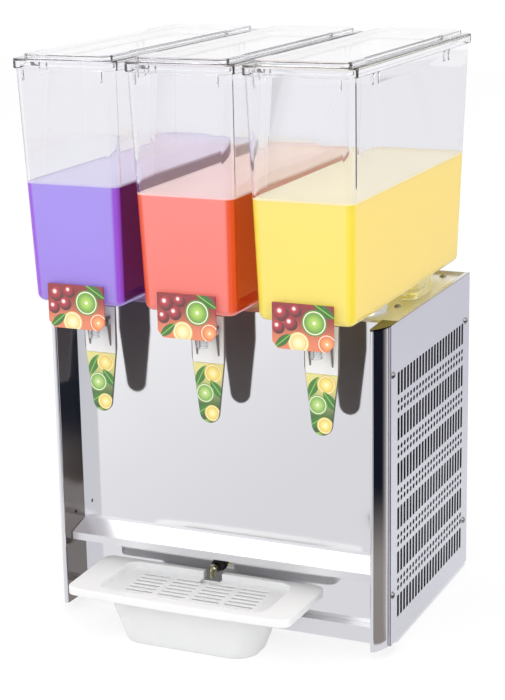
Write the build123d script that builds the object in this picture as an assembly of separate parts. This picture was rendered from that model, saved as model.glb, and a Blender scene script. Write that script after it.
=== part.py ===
from build123d import *
import os
from math import acos, atan2, cos, hypot, pi, sin, sqrt

# Refrigerated juice dispenser: three clear tanks with push taps on a sheet steel cooling cabinet.
# Millimetres, +X to the right, +Y to the back, +Z up, origin on the floor under the middle of the machine.

# Cabinet shell
tank_side_margin = 77.0
cabinet_height = 402.0
cabinet_back = 184.0
sheet = 1.2
skirt_gap = 11.0
shell_gap = 0.2

# Feet and base pan
foot_height = 5.0
foot_radius = 14.0
foot_inset = 45.0
pan_sheet = 1.6
pan_flange = 20.0
pan_lead = 12.0

# Front panel and the two bull-nosed corner posts
panel_front = -88.0
post_front = -142.0
post_width = 17.5
post_curve = 41.0
post_flare = 2.1
post_nose = 3.0
panel_lap = 12.0
post_cap = 1.2
post_hole_radius = 2.4
post_hole_y = -109.5
post_hole_z = 125.0

# Side panels: top lip and the punched vents
side_lip = 9.0
vent_front = -87.0
vent_top = 341.5
vent_columns = 23
vent_rows = 6
vent_pitch_y = 11.0
vent_pitch_z = 55.0
slot_width = 5.8
slot_height = 27.0
dot_radius = 2.6

# Dome-headed screws of the cabinet
screw_head_radius = 4.5
screw_dome = 3.0
screw_shank_radius = 2.0
screw_shank_length = 7.0
screw_fit = 0.1
side_screw_low = 74.0
side_screw_high = 343.0
side_screw_front_inset = 6.0
side_screw_back_inset = 17.0
deck_screw_gap = 6.5
deck_screw_front = 82.0
deck_screw_pitch = 172.0

# Sloping ledge across the front
ledge_back_z = 111.0
ledge_front = -121.0
ledge_fall = 9.5
ledge_lip = 9.5
ledge_flange = 12.0
ledge_end_gap = 0.3

# Top deck
deck_drop = 4.0

# Evaporator drums and their seals
evaporator_y = -28.0
evaporator_radius = 36.0
evaporator_height = 95.0
evaporator_crown = 8.0
evaporator_flange_radius = 40.5
evaporator_flange = 2.0
gasket_height = 5.5
gasket_gap = 0.3

# Stirrers, shafts and motors
shaft_radius = 4.0
shaft_fit = 0.05
shaft_bore_gap = 0.6
motor_radius = 24.0
motor_length = 44.0
motor_flange_size = 60.0
motor_flange = 3.0
motor_end = 5.0
deck_hole_radius = 12.0
stirrer_hub_radius = 9.0
stirrer_hub_height = 15.0
stirrer_reach = 34.0
stirrer_blade = 3.0
stirrer_blade_height = 18.0
stirrer_pitch = 28.0
stirrer_lift = 1.0

# Tanks
tank_pitch = 143.0
tank_height = 284.5
tank_wall = 3.0
tank_corner = 12.0
tank_bottom_fillet = 9.0
tank_bottom_front = -183.0
tank_bottom_back = 197.0
tank_rim_gap = 8.9
tank_side_draft = 12.0
tank_front_draft = 16.0
tank_back_draft = 20.3
rim_height = 9.0
rim_reach = 2.7
collar_radius = 37.5
collar_wall = 2.5
collar_height = 8.0
tank_foot_front = 31.0
tank_foot_length = 58.0
tank_foot_width = 18.0
tank_foot_inset = 1.4
tank_foot_corner = 15.0
rib_height = 14.0
rib_width = 2.0
rib_front = -137.0
rib_back = 127.0
rib_spacing = 17.0

# Lids
lid_plate = 2.0
lid_rise = 5.0
lid_inset = 10.0
lid_corner = 14.0
lid_skirt = 6.0
lid_skirt_wall = 2.0
lid_skirt_gap = 0.8
lid_grip_depth = 3.5

# Taps: horizontal poppet valve under the front of each tank
barrel_radius = 12.0
barrel_drop = 15.5
barrel_lead = 3.5
barrel_length = 45.5
barrel_front_wall = 3.0
barrel_back_wall = 2.5
chamber_radius = 8.5
seat_setback = 26.5
seat_wall = 3.0
seat_radius = 4.2
stem_radius = 2.5
stem_fit = 0.05
port_setback = 14.5
port_radius = 6.0
neck_radius = 9.0
neck_flange_radius = 13.0
neck_flange = 2.5
spout_setback = 38.5
spout_radius = 7.0
spout_bore = 5.0
spout_length = 20.0
poppet_radius = 7.0
poppet_head = 3.0
seal_thickness = 1.5
seal_fit = 0.05
spring_mean_radius = 5.6
spring_wire_radius = 0.6
spring_turns = 4
spring_gap = 0.3

# Push levers and their pins
pin_behind_barrel = 2.0
pin_drop = 14.0
pin_radius = 2.0
pin_fit = 0.05
pin_overhang = 1.4
pin_head_radius = 3.4
pin_head = 1.2
lug_radius = 4.4
lug_half_width = 8.0
lever_offset = 6.0
lever_sheet = 2.2
lever_width = 43.0
lever_top_rise = 18.0
lever_shoulder_drop = 32.0
lever_length = 114.0
lever_tip_radius = 13.0
lever_arm = 2.0
lever_arm_gap = 0.8
lever_arm_rise = 6.0
lever_gusset_drop = 34.0
stem_gap = 0.3
stem_round = 1.8

# Fascia plates in front of the taps
fascia_width = 74.0
fascia_height = 53.0
fascia_thickness = 2.5
fascia_above_bottom = 25.0
fascia_chamfer_x = 7.0
fascia_chamfer_z = 8.0

# Condensate drain
drain_x = -12.0
drain_z = 74.5
drain_radius = 7.0
drain_bore = 5.0
drain_reach = 12.0
drain_tail = 10.0
drain_flange_radius = 9.5
drain_flange = 1.6
drain_fit = 0.1
nozzle_reach = 22.0
nozzle_radius = 3.8
nozzle_bore = 2.4
nozzle_tip_z = 64.0

# Drip tray standing on the floor in front of the cabinet
tray_x = -14.0
tray_width = 296.0
tray_rear = -102.0
tray_front = -215.0
tray_bow = 5.0
tray_taper = 3.0
tray_corner = 12.0
tray_rim_z = 70.0
tray_skin = 2.5
tray_lip = 10.0
tray_floor_drop = 8.0
tray_floor_width = 226.0
tray_floor_rear_inset = 6.0
tray_floor_front_inset = 10.0
tray_floor_corner = 20.0
tray_slot_length = 36.0
tray_slot_width = 4.0
tray_slot_columns = 4
tray_slot_rows = 8
tray_slot_pitch_x = 44.0
tray_slot_front_inset = 9.0
tray_slot_rear_inset = 18.0
notch_width = 24.0
notch_depth = 22.0
basin_top_width = 215.0
basin_bottom_width = 172.0
basin_rear_inset = 2.5
basin_front_inset = 2.5
basin_taper_y = 10.0
basin_corner = 34.0
basin_bottom_corner = 28.0
basin_wall = 2.5

# Cooling unit inside the cabinet
compressor_side_gap = 56.8
compressor_y = 85.0
compressor_radius = 62.0
compressor_height = 150.0
compressor_dome = 28.0
compressor_foot = 12.0
condenser_side_gap = 12.8
condenser_depth = 30.0
condenser_y = 55.0
condenser_length = 190.0
condenser_height = 170.0
condenser_fins = 12
condenser_fin = 1.5
condenser_tubes = 4
condenser_tube_radius = 4.0
fan_gap = 19.0
fan_z = 104.0
fan_radius = 68.0
fan_blades = 5
fan_blade_chord = 36.0
fan_blade_thickness = 2.0
fan_blade_pitch = 32.0
fan_hub_radius = 17.0
fan_hub_length = 15.0
fan_shaft_radius = 3.0
fan_motor_radius = 28.0
fan_motor_length = 38.0
fan_motor_gap = 4.0
fan_bracket = 3.0

# Controls, outlet louvres and cord gland on the back
control_drop = 52.0
switch_pitch = 40.0
switch_knob_pitch = 55.0
switch_width = 15.0
switch_height = 21.0
switch_bezel = 2.5
switch_bezel_depth = 3.0
switch_body_depth = 16.0
switch_gap = 0.3
rocker_radius = 14.0
rocker_crown = 1.5
rocker_end_gap = 1.8
knob_side_inset = 85.0
knob_radius = 16.0
knob_depth = 15.0
knob_pointer = 3.0
knob_shaft_radius = 3.0
louvre_count = 9
louvre_length = 150.0
louvre_height = 6.0
louvre_pitch = 16.0
louvre_side_inset = 65.0
louvre_low = 70.0
gland_side_inset = 70.0
gland_z = 60.0
gland_radius = 9.0
gland_bore = 4.0
gland_reach = 12.0
gland_tail = 8.0
gland_collar_radius = 13.0
gland_collar = 4.0

# Places that follow from the sizes above
side_x = tank_pitch + tank_side_margin
inner_x = side_x - sheet
post_x = side_x - post_width - post_flare
lap_y = post_front + post_curve - panel_lap
pan_top = foot_height + pan_sheet
deck_z = cabinet_height - deck_drop
control_z = cabinet_height - control_drop
flange_top = deck_z + evaporator_flange
tank_z = flange_top + gasket_height + collar_height
rim_z = tank_z + tank_height
barrel_z = tank_z - barrel_drop
barrel_front = tank_bottom_front - barrel_lead
barrel_back = barrel_front + barrel_length
seat_front = barrel_front + seat_setback
port_y = barrel_front + port_setback
spout_y = barrel_front + spout_setback
pin_y = barrel_back + pin_behind_barrel
pin_z = barrel_z - pin_drop
lever_front = pin_y + lever_offset
drum_top = deck_z + evaporator_height
spout_tip = barrel_z - barrel_radius - spout_length
tray_floor_z = tray_rim_z - tray_floor_drop
basin_top = tray_floor_z - tray_skin
tray_floor_front = tray_front + tray_floor_front_inset
tray_floor_rear = tray_rear - tray_floor_rear_inset
tray_slot_front = tray_floor_front + tray_slot_front_inset
tray_slot_rear = tray_floor_rear - tray_slot_rear_inset
tray_slot_pitch_y = (tray_slot_rear - tray_slot_front) / (tray_slot_rows - 1)
deck_screw_x = tank_pitch + evaporator_flange_radius + deck_screw_gap
compressor_x = compressor_radius + compressor_side_gap - inner_x
condenser_x = inner_x - condenser_side_gap - condenser_depth
fan_x = condenser_x - fan_gap - fan_hub_length
knob_x = side_x - knob_side_inset
switch_cooling_x = knob_x - switch_knob_pitch
switch_stir_x = switch_cooling_x - switch_pitch
louvre_x = side_x - louvre_side_inset - louvre_length / 2
gland_x = gland_side_inset - side_x
tank_top_width = tank_pitch - tank_rim_gap - 2 * rim_reach
tank_bottom_width = tank_top_width - tank_side_draft
tank_top_front = tank_bottom_front - tank_front_draft
tank_top_back = tank_bottom_back + tank_back_draft
tank_centres = {"left": -tank_pitch, "middle": 0.0, "right": tank_pitch}


def block(x0, x1, y0, y1, z0, z1):
    """Box between two corners."""
    return Pos((x0 + x1) / 2, (y0 + y1) / 2, (z0 + z1) / 2) * Box(x1 - x0, y1 - y0, z1 - z0)


def rod_x(radius, x0, x1, y, z):
    """Cylinder along X."""
    return Pos((x0 + x1) / 2, y, z) * Rot(0, 90, 0) * Cylinder(radius, x1 - x0)


def rod_y(radius, y0, y1, x, z):
    """Cylinder along Y."""
    return Pos(x, (y0 + y1) / 2, z) * Rot(90, 0, 0) * Cylinder(radius, y1 - y0)


def rod_z(radius, z0, z1, x, y):
    """Cylinder along Z."""
    return Pos(x, y, (z0 + z1) / 2) * Cylinder(radius, z1 - z0)


def prism(sketch, z0, z1):
    """Flat sketch drawn in X and Y, raised between two heights."""
    return extrude(Pos(0, 0, z0) * sketch, z1 - z0)


def rounded(width, y0, y1, radius, x=0.0):
    """Rounded rectangle between two Y values, centred on x."""
    return Pos(x, (y0 + y1) / 2) * RectangleRounded(width, y1 - y0, radius)


def taper(lower, z0, upper, z1):
    """Loft between two sketches at two heights."""
    return loft([Pos(0, 0, z0) * lower, Pos(0, 0, z1) * upper])


def dome_screw():
    """Dome-headed screw, seat at the origin, head along +Z."""
    ball = (screw_head_radius**2 + screw_dome**2) / (2 * screw_dome)
    cap = Pos(0, 0, screw_dome - ball) * Sphere(ball)
    head = cap & rod_z(screw_head_radius * 1.2, 0, screw_dome * 1.2, 0, 0)
    return head + rod_z(screw_shank_radius, -screw_shank_length, 0, 0, 0)


def side_screw_places():
    """Y and Z of the four screws on each side panel."""
    front = lap_y + side_screw_front_inset
    back = cabinet_back - side_screw_back_inset
    return [(y, z) for y in (front, back) for z in (side_screw_low, side_screw_high)]


def deck_screw_places():
    """X and Y of the screws along both edges of the deck."""
    first = panel_front + deck_screw_front
    rows = (first, first + deck_screw_pitch)
    return [(side * deck_screw_x, y) for side in (-1, 1) for y in rows]


def make_dome_screws():
    """All dome-headed screws of the cabinet, as one group."""
    screws = []
    for side in (-1, 1):
        for y, z in side_screw_places():
            screws.append(Pos(side * side_x, y, z) * Rot(0, 90 * side, 0) * dome_screw())
    for x, y in deck_screw_places():
        screws.append(Pos(x, y, deck_z) * dome_screw())
    return Compound(children=screws)


def side_screw_holes(x):
    """Clearance holes for the shanks of one side's screws."""
    reach = screw_shank_length + sheet
    radius = screw_shank_radius + screw_fit
    return [rod_x(radius, x - reach, x + reach, y, z) for y, z in side_screw_places()]


def post_profile(inset):
    """Plan of a right-hand corner post, its skin moved inwards by inset."""
    depth = post_curve
    bulge = post_width - sheet
    radius = (bulge**2 + depth**2) / (2 * bulge)
    centre_x = inner_x - radius
    tangent_y = post_front + depth
    skin = radius - inset
    nose_x = post_x + post_flare + inset
    nose_y = tangent_y - sqrt(skin**2 - (nose_x - centre_x) ** 2)
    tail_x = inner_x - inset
    middle = (atan2(nose_y - tangent_y, nose_x - centre_x)) / 2
    swell = (centre_x + skin * cos(middle), tangent_y + skin * sin(middle))
    outline = Line((post_x + inset, panel_front), (nose_x, nose_y))
    outline += ThreePointArc((nose_x, nose_y), swell, (tail_x, tangent_y))
    outline += Line((tail_x, tangent_y), (tail_x, panel_front))
    outline += Line((tail_x, panel_front), (post_x + inset, panel_front))
    plan = make_face(outline)
    return fillet(plan.vertices().sort_by(Axis.Y)[0], post_nose - inset)


def make_corner_post():
    """Right-hand corner post: a bent skin with a closed top and a hole above the ledge."""
    post = prism(post_profile(0.0), skirt_gap, cabinet_height)
    post -= prism(post_profile(sheet), skirt_gap, cabinet_height - post_cap)
    hole_end = post_x + post_flare + 2 * sheet
    post -= rod_x(post_hole_radius, post_x - sheet, hole_end, post_hole_y, post_hole_z)
    return post - side_screw_holes(side_x)


def vent_slots(plan):
    """Rows of upright slots, drawn in a side panel's own plane."""
    middle_y = vent_front + vent_pitch_y * (vent_columns - 1) / 2
    middle_z = vent_top - slot_height / 2 - vent_pitch_z * (vent_rows - 1) / 2
    grid = GridLocations(vent_pitch_y, vent_pitch_z, vent_columns, vent_rows)
    cuts = [Pos(middle_y, middle_z) * place * Rectangle(slot_width, slot_height) for place in grid]
    return plan - cuts


def vent_dots(plan):
    """Two rows of small punched holes in each gap between the rows of slots."""
    middle_y = vent_front + vent_pitch_y * (vent_columns - 1) / 2
    gap = vent_pitch_z - slot_height
    cuts = []
    for row in range(vent_rows - 1):
        top = vent_top - slot_height - vent_pitch_z * row
        places = Pos(middle_y, top - gap / 2) * GridLocations(vent_pitch_y, gap / 3, vent_columns, 2)
        cuts += [place * Circle(dot_radius) for place in places]
    return plan - cuts


def make_side_panel(dotted):
    """Right-hand side panel with its vents and an inward lip along the top."""
    low = (lap_y + cabinet_back) / 2
    plan = Pos(low, (skirt_gap + cabinet_height) / 2)
    plan = plan * Rectangle(cabinet_back - lap_y, cabinet_height - skirt_gap)
    plan = vent_slots(plan)
    if dotted:
        plan = vent_dots(plan)
    panel = extrude(Plane.YZ.offset(inner_x) * plan, sheet)
    lip_y0 = panel_front + sheet + shell_gap
    lip_y1 = cabinet_back - sheet - shell_gap
    lip = block(inner_x - side_lip, side_x, lip_y0, lip_y1, cabinet_height - sheet, cabinet_height)
    return panel + lip - side_screw_holes(side_x)


def make_base_pan():
    """Shallow pan under the whole machine, its front skirt folded back to the front panel."""
    front = panel_front - pan_lead
    back = cabinet_back - sheet - shell_gap
    wide = inner_x - shell_gap
    narrow = post_x - ledge_end_gap
    inside = panel_front + sheet + shell_gap
    top = foot_height + pan_flange
    pan = block(-narrow, narrow, front, inside, foot_height, pan_top)
    pan += block(-wide, wide, inside, back, foot_height, pan_top)
    pan += block(-narrow, narrow, front, front + pan_sheet, foot_height, top)
    pan += block(-narrow, narrow, front, panel_front - shell_gap, top - pan_sheet, top)
    pan += block(-wide, wide, back - pan_sheet, back, foot_height, top)
    for side in (-1, 1):
        edge = side * wide
        inner = side * (wide - pan_sheet)
        pan += block(min(edge, inner), max(edge, inner), inside, back, foot_height, top)
    return pan


def make_feet():
    """Four round feet under the base pan."""
    wide = side_x - foot_inset
    front = panel_front - pan_lead + foot_inset
    back = cabinet_back - foot_inset
    places = [(x, y) for x in (-wide, wide) for y in (front, back)]
    return Compound(children=[rod_z(foot_radius, 0, foot_height, x, y) for x, y in places])


def make_front_panel():
    """Flat front panel with a flange bent back at the top and the drain hole."""
    wide = inner_x - shell_gap
    back = panel_front + sheet
    panel = block(-wide, wide, panel_front, back, pan_top, cabinet_height)
    panel += block(-post_x, post_x, panel_front, back + side_lip, deck_z - sheet, deck_z)
    panel -= block(-side_x, side_x, panel_front, back, deck_z, cabinet_height + sheet)
    return panel - rod_y(drain_radius + drain_fit, panel_front - sheet, back + sheet, drain_x, drain_z)


def make_ledge():
    """Sloping ledge with a front lip and a flange down the front panel."""
    end = post_x - ledge_end_gap
    front_z = ledge_back_z - ledge_fall
    slope = ledge_fall / (panel_front - ledge_front)
    drop = sheet * sqrt(1 + slope**2)
    inner_front = ledge_front + sheet
    inner_back = panel_front - sheet
    points = [
        (panel_front, ledge_back_z),
        (ledge_front, front_z),
        (ledge_front, front_z - ledge_lip),
        (inner_front, front_z - ledge_lip),
        (inner_front, front_z + slope * sheet - drop),
        (inner_back, ledge_back_z - slope * sheet - drop),
        (inner_back, ledge_back_z - ledge_flange),
        (panel_front, ledge_back_z - ledge_flange),
    ]
    profile = make_face(Polyline(*points, close=True))
    return extrude(Plane.YZ.offset(-end) * profile, 2 * end)


def make_top_deck():
    """Flat deck that carries the evaporators, with holes for the shafts and screws."""
    wide = inner_x - shell_gap
    front = panel_front + sheet + side_lip + shell_gap
    back = cabinet_back - sheet - shell_gap
    deck = block(-wide, wide, front, back, deck_z - sheet, deck_z)
    for x in tank_centres.values():
        deck -= rod_z(deck_hole_radius, deck_z - 2 * sheet, deck_z + sheet, x, evaporator_y)
    radius = screw_shank_radius + screw_fit
    for x, y in deck_screw_places():
        deck -= rod_z(radius, deck_z - 2 * sheet, deck_z + sheet, x, y)
    return deck


def rocker_opening(x):
    """Cut-out in the back panel for one rocker switch."""
    half_x = switch_width / 2 + switch_gap
    half_z = switch_height / 2 + switch_gap
    near = cabinet_back - 2 * sheet
    far = cabinet_back + sheet
    return block(x - half_x, x + half_x, near, far, control_z - half_z, control_z + half_z)


def make_back_panel():
    """Back panel with outlet louvres and the openings of the controls and the cord gland."""
    wide = inner_x - shell_gap
    near = cabinet_back - sheet
    panel = block(-wide, wide, near, cabinet_back, skirt_gap, cabinet_height)
    for i in range(louvre_count):
        z = louvre_low + louvre_pitch * i
        x0 = louvre_x - louvre_length / 2
        x1 = louvre_x + louvre_length / 2
        panel -= block(x0, x1, near - sheet, cabinet_back + sheet, z, z + louvre_height)
    panel -= [rocker_opening(x) for x in (switch_stir_x, switch_cooling_x)]
    panel -= rod_y(knob_shaft_radius + shaft_fit, near - sheet, cabinet_back + sheet, knob_x, control_z)
    panel -= rod_y(gland_radius + drain_fit, near - sheet, cabinet_back + sheet, gland_x, gland_z)
    return panel


def make_switch_bezels():
    """Frames and bodies of the two rocker switches, hollow in front for the rockers."""
    bezels = []
    inner = cabinet_back - sheet - switch_body_depth
    face = cabinet_back + switch_bezel_depth
    for x in (switch_stir_x, switch_cooling_x):
        wide = switch_width / 2
        tall = switch_height / 2
        body = block(x - wide, x + wide, inner, cabinet_back, control_z - tall, control_z + tall)
        rim_x = wide + switch_bezel
        rim_z0 = control_z - tall - switch_bezel
        rim_z1 = control_z + tall + switch_bezel
        body += block(x - rim_x, x + rim_x, cabinet_back, face, rim_z0, rim_z1)
        hollow_x = wide - switch_bezel / 2
        hollow_z = tall - switch_bezel / 2
        floor = inner + switch_bezel
        body -= block(x - hollow_x, x + hollow_x, floor, face, control_z - hollow_z, control_z + hollow_z)
        bezels.append(body)
    return Compound(children=bezels)


def rocker_axis_y():
    """Y of the axis that both rockers tilt about."""
    return cabinet_back + switch_bezel_depth - rocker_radius / 2


def make_rocker(x):
    """Rocker of one switch: a rounded paddle on a cross axis."""
    half = switch_width / 2 - switch_bezel / 2 - switch_gap
    axis_y = rocker_axis_y()
    face = cabinet_back + switch_bezel_depth + rocker_crown
    reach = switch_height / 2 - switch_bezel / 2 - switch_gap - rocker_end_gap
    drum = rod_x(rocker_radius / 2 - switch_gap, x - half, x + half, axis_y, control_z)
    paddle = block(x - half, x + half, axis_y, face, control_z - reach, control_z + reach)
    return drum + paddle


def make_knob():
    """Thermostat knob with a raised pointer and its shaft."""
    near = cabinet_back + shell_gap
    knob = rod_y(knob_radius, near, near + knob_depth, knob_x, control_z)
    knob = chamfer(knob.edges().filter_by(GeomType.CIRCLE).sort_by(Axis.Y)[-1], knob_pointer / 2)
    half = knob_pointer / 2
    face = near + knob_depth
    tip = control_z + knob_radius - knob_pointer
    knob += block(knob_x - half, knob_x + half, face - half, face + half, control_z, tip)
    return knob + rod_y(knob_shaft_radius, cabinet_back - sheet - knob_depth, near, knob_x, control_z)


def make_gland():
    """Cord gland in the back panel, with an empty bore."""
    face = cabinet_back
    gland = rod_y(gland_radius, face - sheet - gland_tail, face + gland_reach, gland_x, gland_z)
    gland += rod_y(gland_collar_radius, face, face + gland_collar, gland_x, gland_z)
    hole = rod_y(gland_bore, face - sheet - 2 * gland_tail, face + 2 * gland_reach, gland_x, gland_z)
    return gland - hole


def make_evaporator(x):
    """Stainless cooling drum with a flange, a crowned top and a bore for the stirrer shaft."""
    drum = rod_z(evaporator_radius, deck_z, drum_top, x, evaporator_y)
    drum = fillet(drum.edges().sort_by(Axis.Z)[-1], evaporator_crown)
    drum += rod_z(evaporator_flange_radius, deck_z, flange_top, x, evaporator_y)
    bore = shaft_radius + shaft_bore_gap
    return drum - rod_z(bore, deck_z - sheet, drum_top + sheet, x, evaporator_y)


def make_gasket(x):
    """Seal ring between one tank's collar and its drum."""
    top = flange_top + gasket_height
    ring = rod_z(collar_radius + collar_wall, flange_top, top, x, evaporator_y)
    return ring - rod_z(evaporator_radius + gasket_gap, flange_top - sheet, top + sheet, x, evaporator_y)


def make_motor(x):
    """Stirrer motor hung under the deck."""
    top = deck_z - sheet
    low = top - motor_flange - motor_length
    half = motor_flange_size / 2
    y = evaporator_y
    motor = block(x - half, x + half, y - half, y + half, top - motor_flange, top)
    motor += rod_z(motor_radius, low, top, x, y)
    return motor - rod_z(shaft_radius + shaft_fit, low + motor_end, top + sheet, x, y)


def make_shaft(x):
    """Stirrer shaft from the motor to the hub above the drum."""
    low = deck_z - sheet - motor_flange - motor_length + motor_end + shaft_bore_gap
    top = drum_top + stirrer_lift + stirrer_hub_height - stirrer_blade
    return rod_z(shaft_radius, low, top - shaft_fit, x, evaporator_y)


def make_stirrer(x):
    """Two-bladed stirrer on top of the drum; it passes the collar when a tank is lifted."""
    low = drum_top + stirrer_lift
    top = low + stirrer_hub_height
    hub = rod_z(stirrer_hub_radius, low, top, x, evaporator_y)
    middle = low + stirrer_hub_height / 2
    blade_length = stirrer_reach - stirrer_hub_radius / 2
    for side in (-1, 1):
        arm = Pos(side * (stirrer_reach - blade_length / 2), 0, 0) * Rot(stirrer_pitch * side, 0, 0)
        blade = arm * Box(blade_length, stirrer_blade, stirrer_blade_height)
        hub += Pos(x, evaporator_y, middle) * blade
    hub -= rod_z(2 * stirrer_reach, low - stirrer_blade_height, low, x, evaporator_y)
    return hub - rod_z(shaft_radius + shaft_fit, low - sheet, top - stirrer_blade, x, evaporator_y)


def tank_plan(fraction, inset):
    """Rounded plan of the tank wall at a fraction of its height, moved inwards by inset."""
    width = tank_bottom_width + (tank_top_width - tank_bottom_width) * fraction
    front = tank_bottom_front + (tank_top_front - tank_bottom_front) * fraction
    back = tank_bottom_back + (tank_top_back - tank_bottom_back) * fraction
    return rounded(width - 2 * inset, front + inset, back - inset, tank_corner - inset)


def rim_plan():
    """Rounded plan of the tank rim, shared with the lid plate."""
    width = tank_top_width + 2 * rim_reach
    return rounded(width, tank_top_front - rim_reach, tank_top_back + rim_reach, lid_corner)


def rim_ribs():
    """Short upright ribs under the rim, in pairs near both ends and at the front corners."""
    top = rim_z - rim_height
    low = top - rib_height
    ribs = []
    half = tank_top_width / 2
    for y in (rib_front, rib_front + rib_spacing, rib_back - rib_spacing, rib_back):
        for side in (-1, 1):
            edge = side * (half + rim_reach / 2)
            root = side * (half - tank_wall / 2)
            x0, x1 = sorted((edge, root))
            ribs.append(block(x0, x1, y - rib_width / 2, y + rib_width / 2, low, top))
    for side in (-1, 1):
        x = side * (half - tank_corner - rib_width)
        y0 = tank_top_front - rim_reach / 2
        ribs.append(block(x - rib_width / 2, x + rib_width / 2, y0, y0 + tank_wall, low, top))
    return ribs


def tank_outside():
    """Outer form of the tank below its rim, rounded at the bottom."""
    body = taper(tank_plan(0.0, 0.0), tank_z, tank_plan(1.0, 0.0), rim_z)
    return fillet(body.edges().group_by(Axis.Z)[0], tank_bottom_fillet)


def make_tank_feet():
    """Long foot under each side of a tank, its outer front corner rounded."""
    outer = tank_bottom_width / 2 - tank_foot_inset
    middle = Pos(outer - tank_foot_width / 2, tank_foot_front + tank_foot_length / 2)
    plan = middle * Rectangle(tank_foot_width, tank_foot_length)
    front = plan.vertices().sort_by(Axis.Y)[:2]
    plan = fillet(front.sort_by(Axis.X)[-1], tank_foot_corner)
    foot = prism(plan, deck_z, tank_z + tank_bottom_fillet) - tank_outside()
    return Compound(children=[foot, mirror(foot, Plane.YZ)])


def make_tank():
    """Clear tapered tank with a rim, a collar over the drum and the tap's port."""
    body = tank_outside()
    floor_share = tank_wall / tank_height
    body += prism(rim_plan(), rim_z - rim_height, rim_z)
    body += rim_ribs()
    hollow = taper(tank_plan(floor_share, tank_wall), tank_z + tank_wall, tank_plan(1.0, tank_wall), rim_z)
    hollow = fillet(hollow.edges().group_by(Axis.Z)[0], tank_bottom_fillet - tank_wall)
    body -= hollow
    low = tank_z - collar_height
    body += rod_z(collar_radius + collar_wall, low, tank_z + tank_wall, 0, evaporator_y)
    body -= rod_z(collar_radius, low - sheet, tank_z + 2 * tank_wall, 0, evaporator_y)
    return body - rod_z(port_radius, tank_z - sheet, tank_z + 2 * tank_wall, 0, port_y)


def make_lid():
    """Clear lid: a plate on the rim, a raised field with finger grips, and a locating skirt."""
    plate_top = rim_z + lid_plate
    top = plate_top + lid_rise
    field_width = tank_top_width + 2 * rim_reach - 2 * lid_inset
    front = tank_top_front - rim_reach + lid_inset
    back = tank_top_back + rim_reach - lid_inset
    field = rounded(field_width, front, back, lid_corner - lid_plate)
    grip_middle = (rib_front + rib_back) / 2
    for side in (-1, 1):
        grip = Rectangle(2 * lid_grip_depth, rib_back - rib_front)
        field -= Pos(side * field_width / 2, grip_middle) * grip
    lid = prism(rim_plan(), rim_z, plate_top) + prism(field, plate_top, top)
    gap = tank_wall + lid_skirt_gap
    skirt = tank_plan(1.0, gap) - tank_plan(1.0, gap + lid_skirt_wall)
    lid += prism(skirt, rim_z - lid_skirt, rim_z)
    inset = lid_grip_depth + lid_plate
    pocket = rounded(field_width - 2 * inset, front + inset, back - inset, lid_corner / 2)
    return lid - prism(pocket, rim_z - lid_skirt, top - lid_plate)


def make_tap_housing():
    """Clear tap body: barrel with a valve seat, neck up to the tank, spout and lever lug."""
    body = rod_y(barrel_radius, barrel_front, barrel_back, 0, barrel_z)
    body += rod_z(neck_radius, barrel_z, tank_z, 0, port_y)
    body += rod_z(neck_flange_radius, tank_z - neck_flange, tank_z, 0, port_y)
    body += rod_z(spout_radius, spout_tip, barrel_z, 0, spout_y)
    body += rod_x(lug_radius, -lug_half_width, lug_half_width, pin_y, pin_z)
    web_y0 = pin_y - lug_radius
    web_y1 = pin_y + lug_radius / 2
    web_top = barrel_z - barrel_radius / 2
    body += block(-lug_half_width, lug_half_width, web_y0, web_y1, pin_z, web_top)
    front = barrel_front + barrel_front_wall
    seat_back = seat_front + seat_wall
    back = barrel_back - barrel_back_wall
    body -= rod_y(chamber_radius, front, seat_front, 0, barrel_z)
    body -= rod_y(seat_radius, seat_front, seat_back, 0, barrel_z)
    body -= rod_y(chamber_radius, seat_back, back, 0, barrel_z)
    body -= rod_y(stem_radius + stem_fit, back, barrel_back + lug_radius * 2, 0, barrel_z)
    body -= rod_z(port_radius, barrel_z, tank_z + sheet, 0, port_y)
    body -= rod_z(spout_bore, spout_tip - sheet, barrel_z, 0, spout_y)
    return body - rod_x(pin_radius + pin_fit / 2, -side_x, side_x, pin_y, pin_z)


def make_fascia():
    """Fascia plate with its two lower corners cut off."""
    top = tank_z + fascia_above_bottom
    low = top - fascia_height
    half = fascia_width / 2
    points = [
        (-half, top),
        (half, top),
        (half, low + fascia_chamfer_z),
        (half - fascia_chamfer_x, low),
        (-half + fascia_chamfer_x, low),
        (-half, low + fascia_chamfer_z),
    ]
    plate = make_face(Polyline(*points, close=True))
    return extrude(Plane.XZ.offset(-barrel_front) * plate, fascia_thickness)


def lever_outline():
    """Paddle outline as (x, z): straight above, tapering to a round tip below."""
    top = pin_z + lever_top_rise
    shoulder = pin_z - lever_shoulder_drop
    half = lever_width / 2
    tip_z = pin_z - lever_length + lever_tip_radius
    rise = shoulder - tip_z
    away = atan2(rise, half) - acos(lever_tip_radius / hypot(half, rise))
    tip_x = lever_tip_radius * cos(away)
    arc_z = tip_z + lever_tip_radius * sin(away)
    bottom = (0, tip_z - lever_tip_radius)
    sides = [(-tip_x, arc_z), (-half, shoulder), (-half, top), (half, top), (half, shoulder), (tip_x, arc_z)]
    outline = Polyline(*sides)
    outline += ThreePointArc((tip_x, arc_z), bottom, (-tip_x, arc_z))
    return make_face(outline)


def lever_arm_x():
    """Inner and outer X of a lever arm."""
    inner = barrel_radius + lever_arm_gap
    return inner, inner + lever_arm


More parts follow.
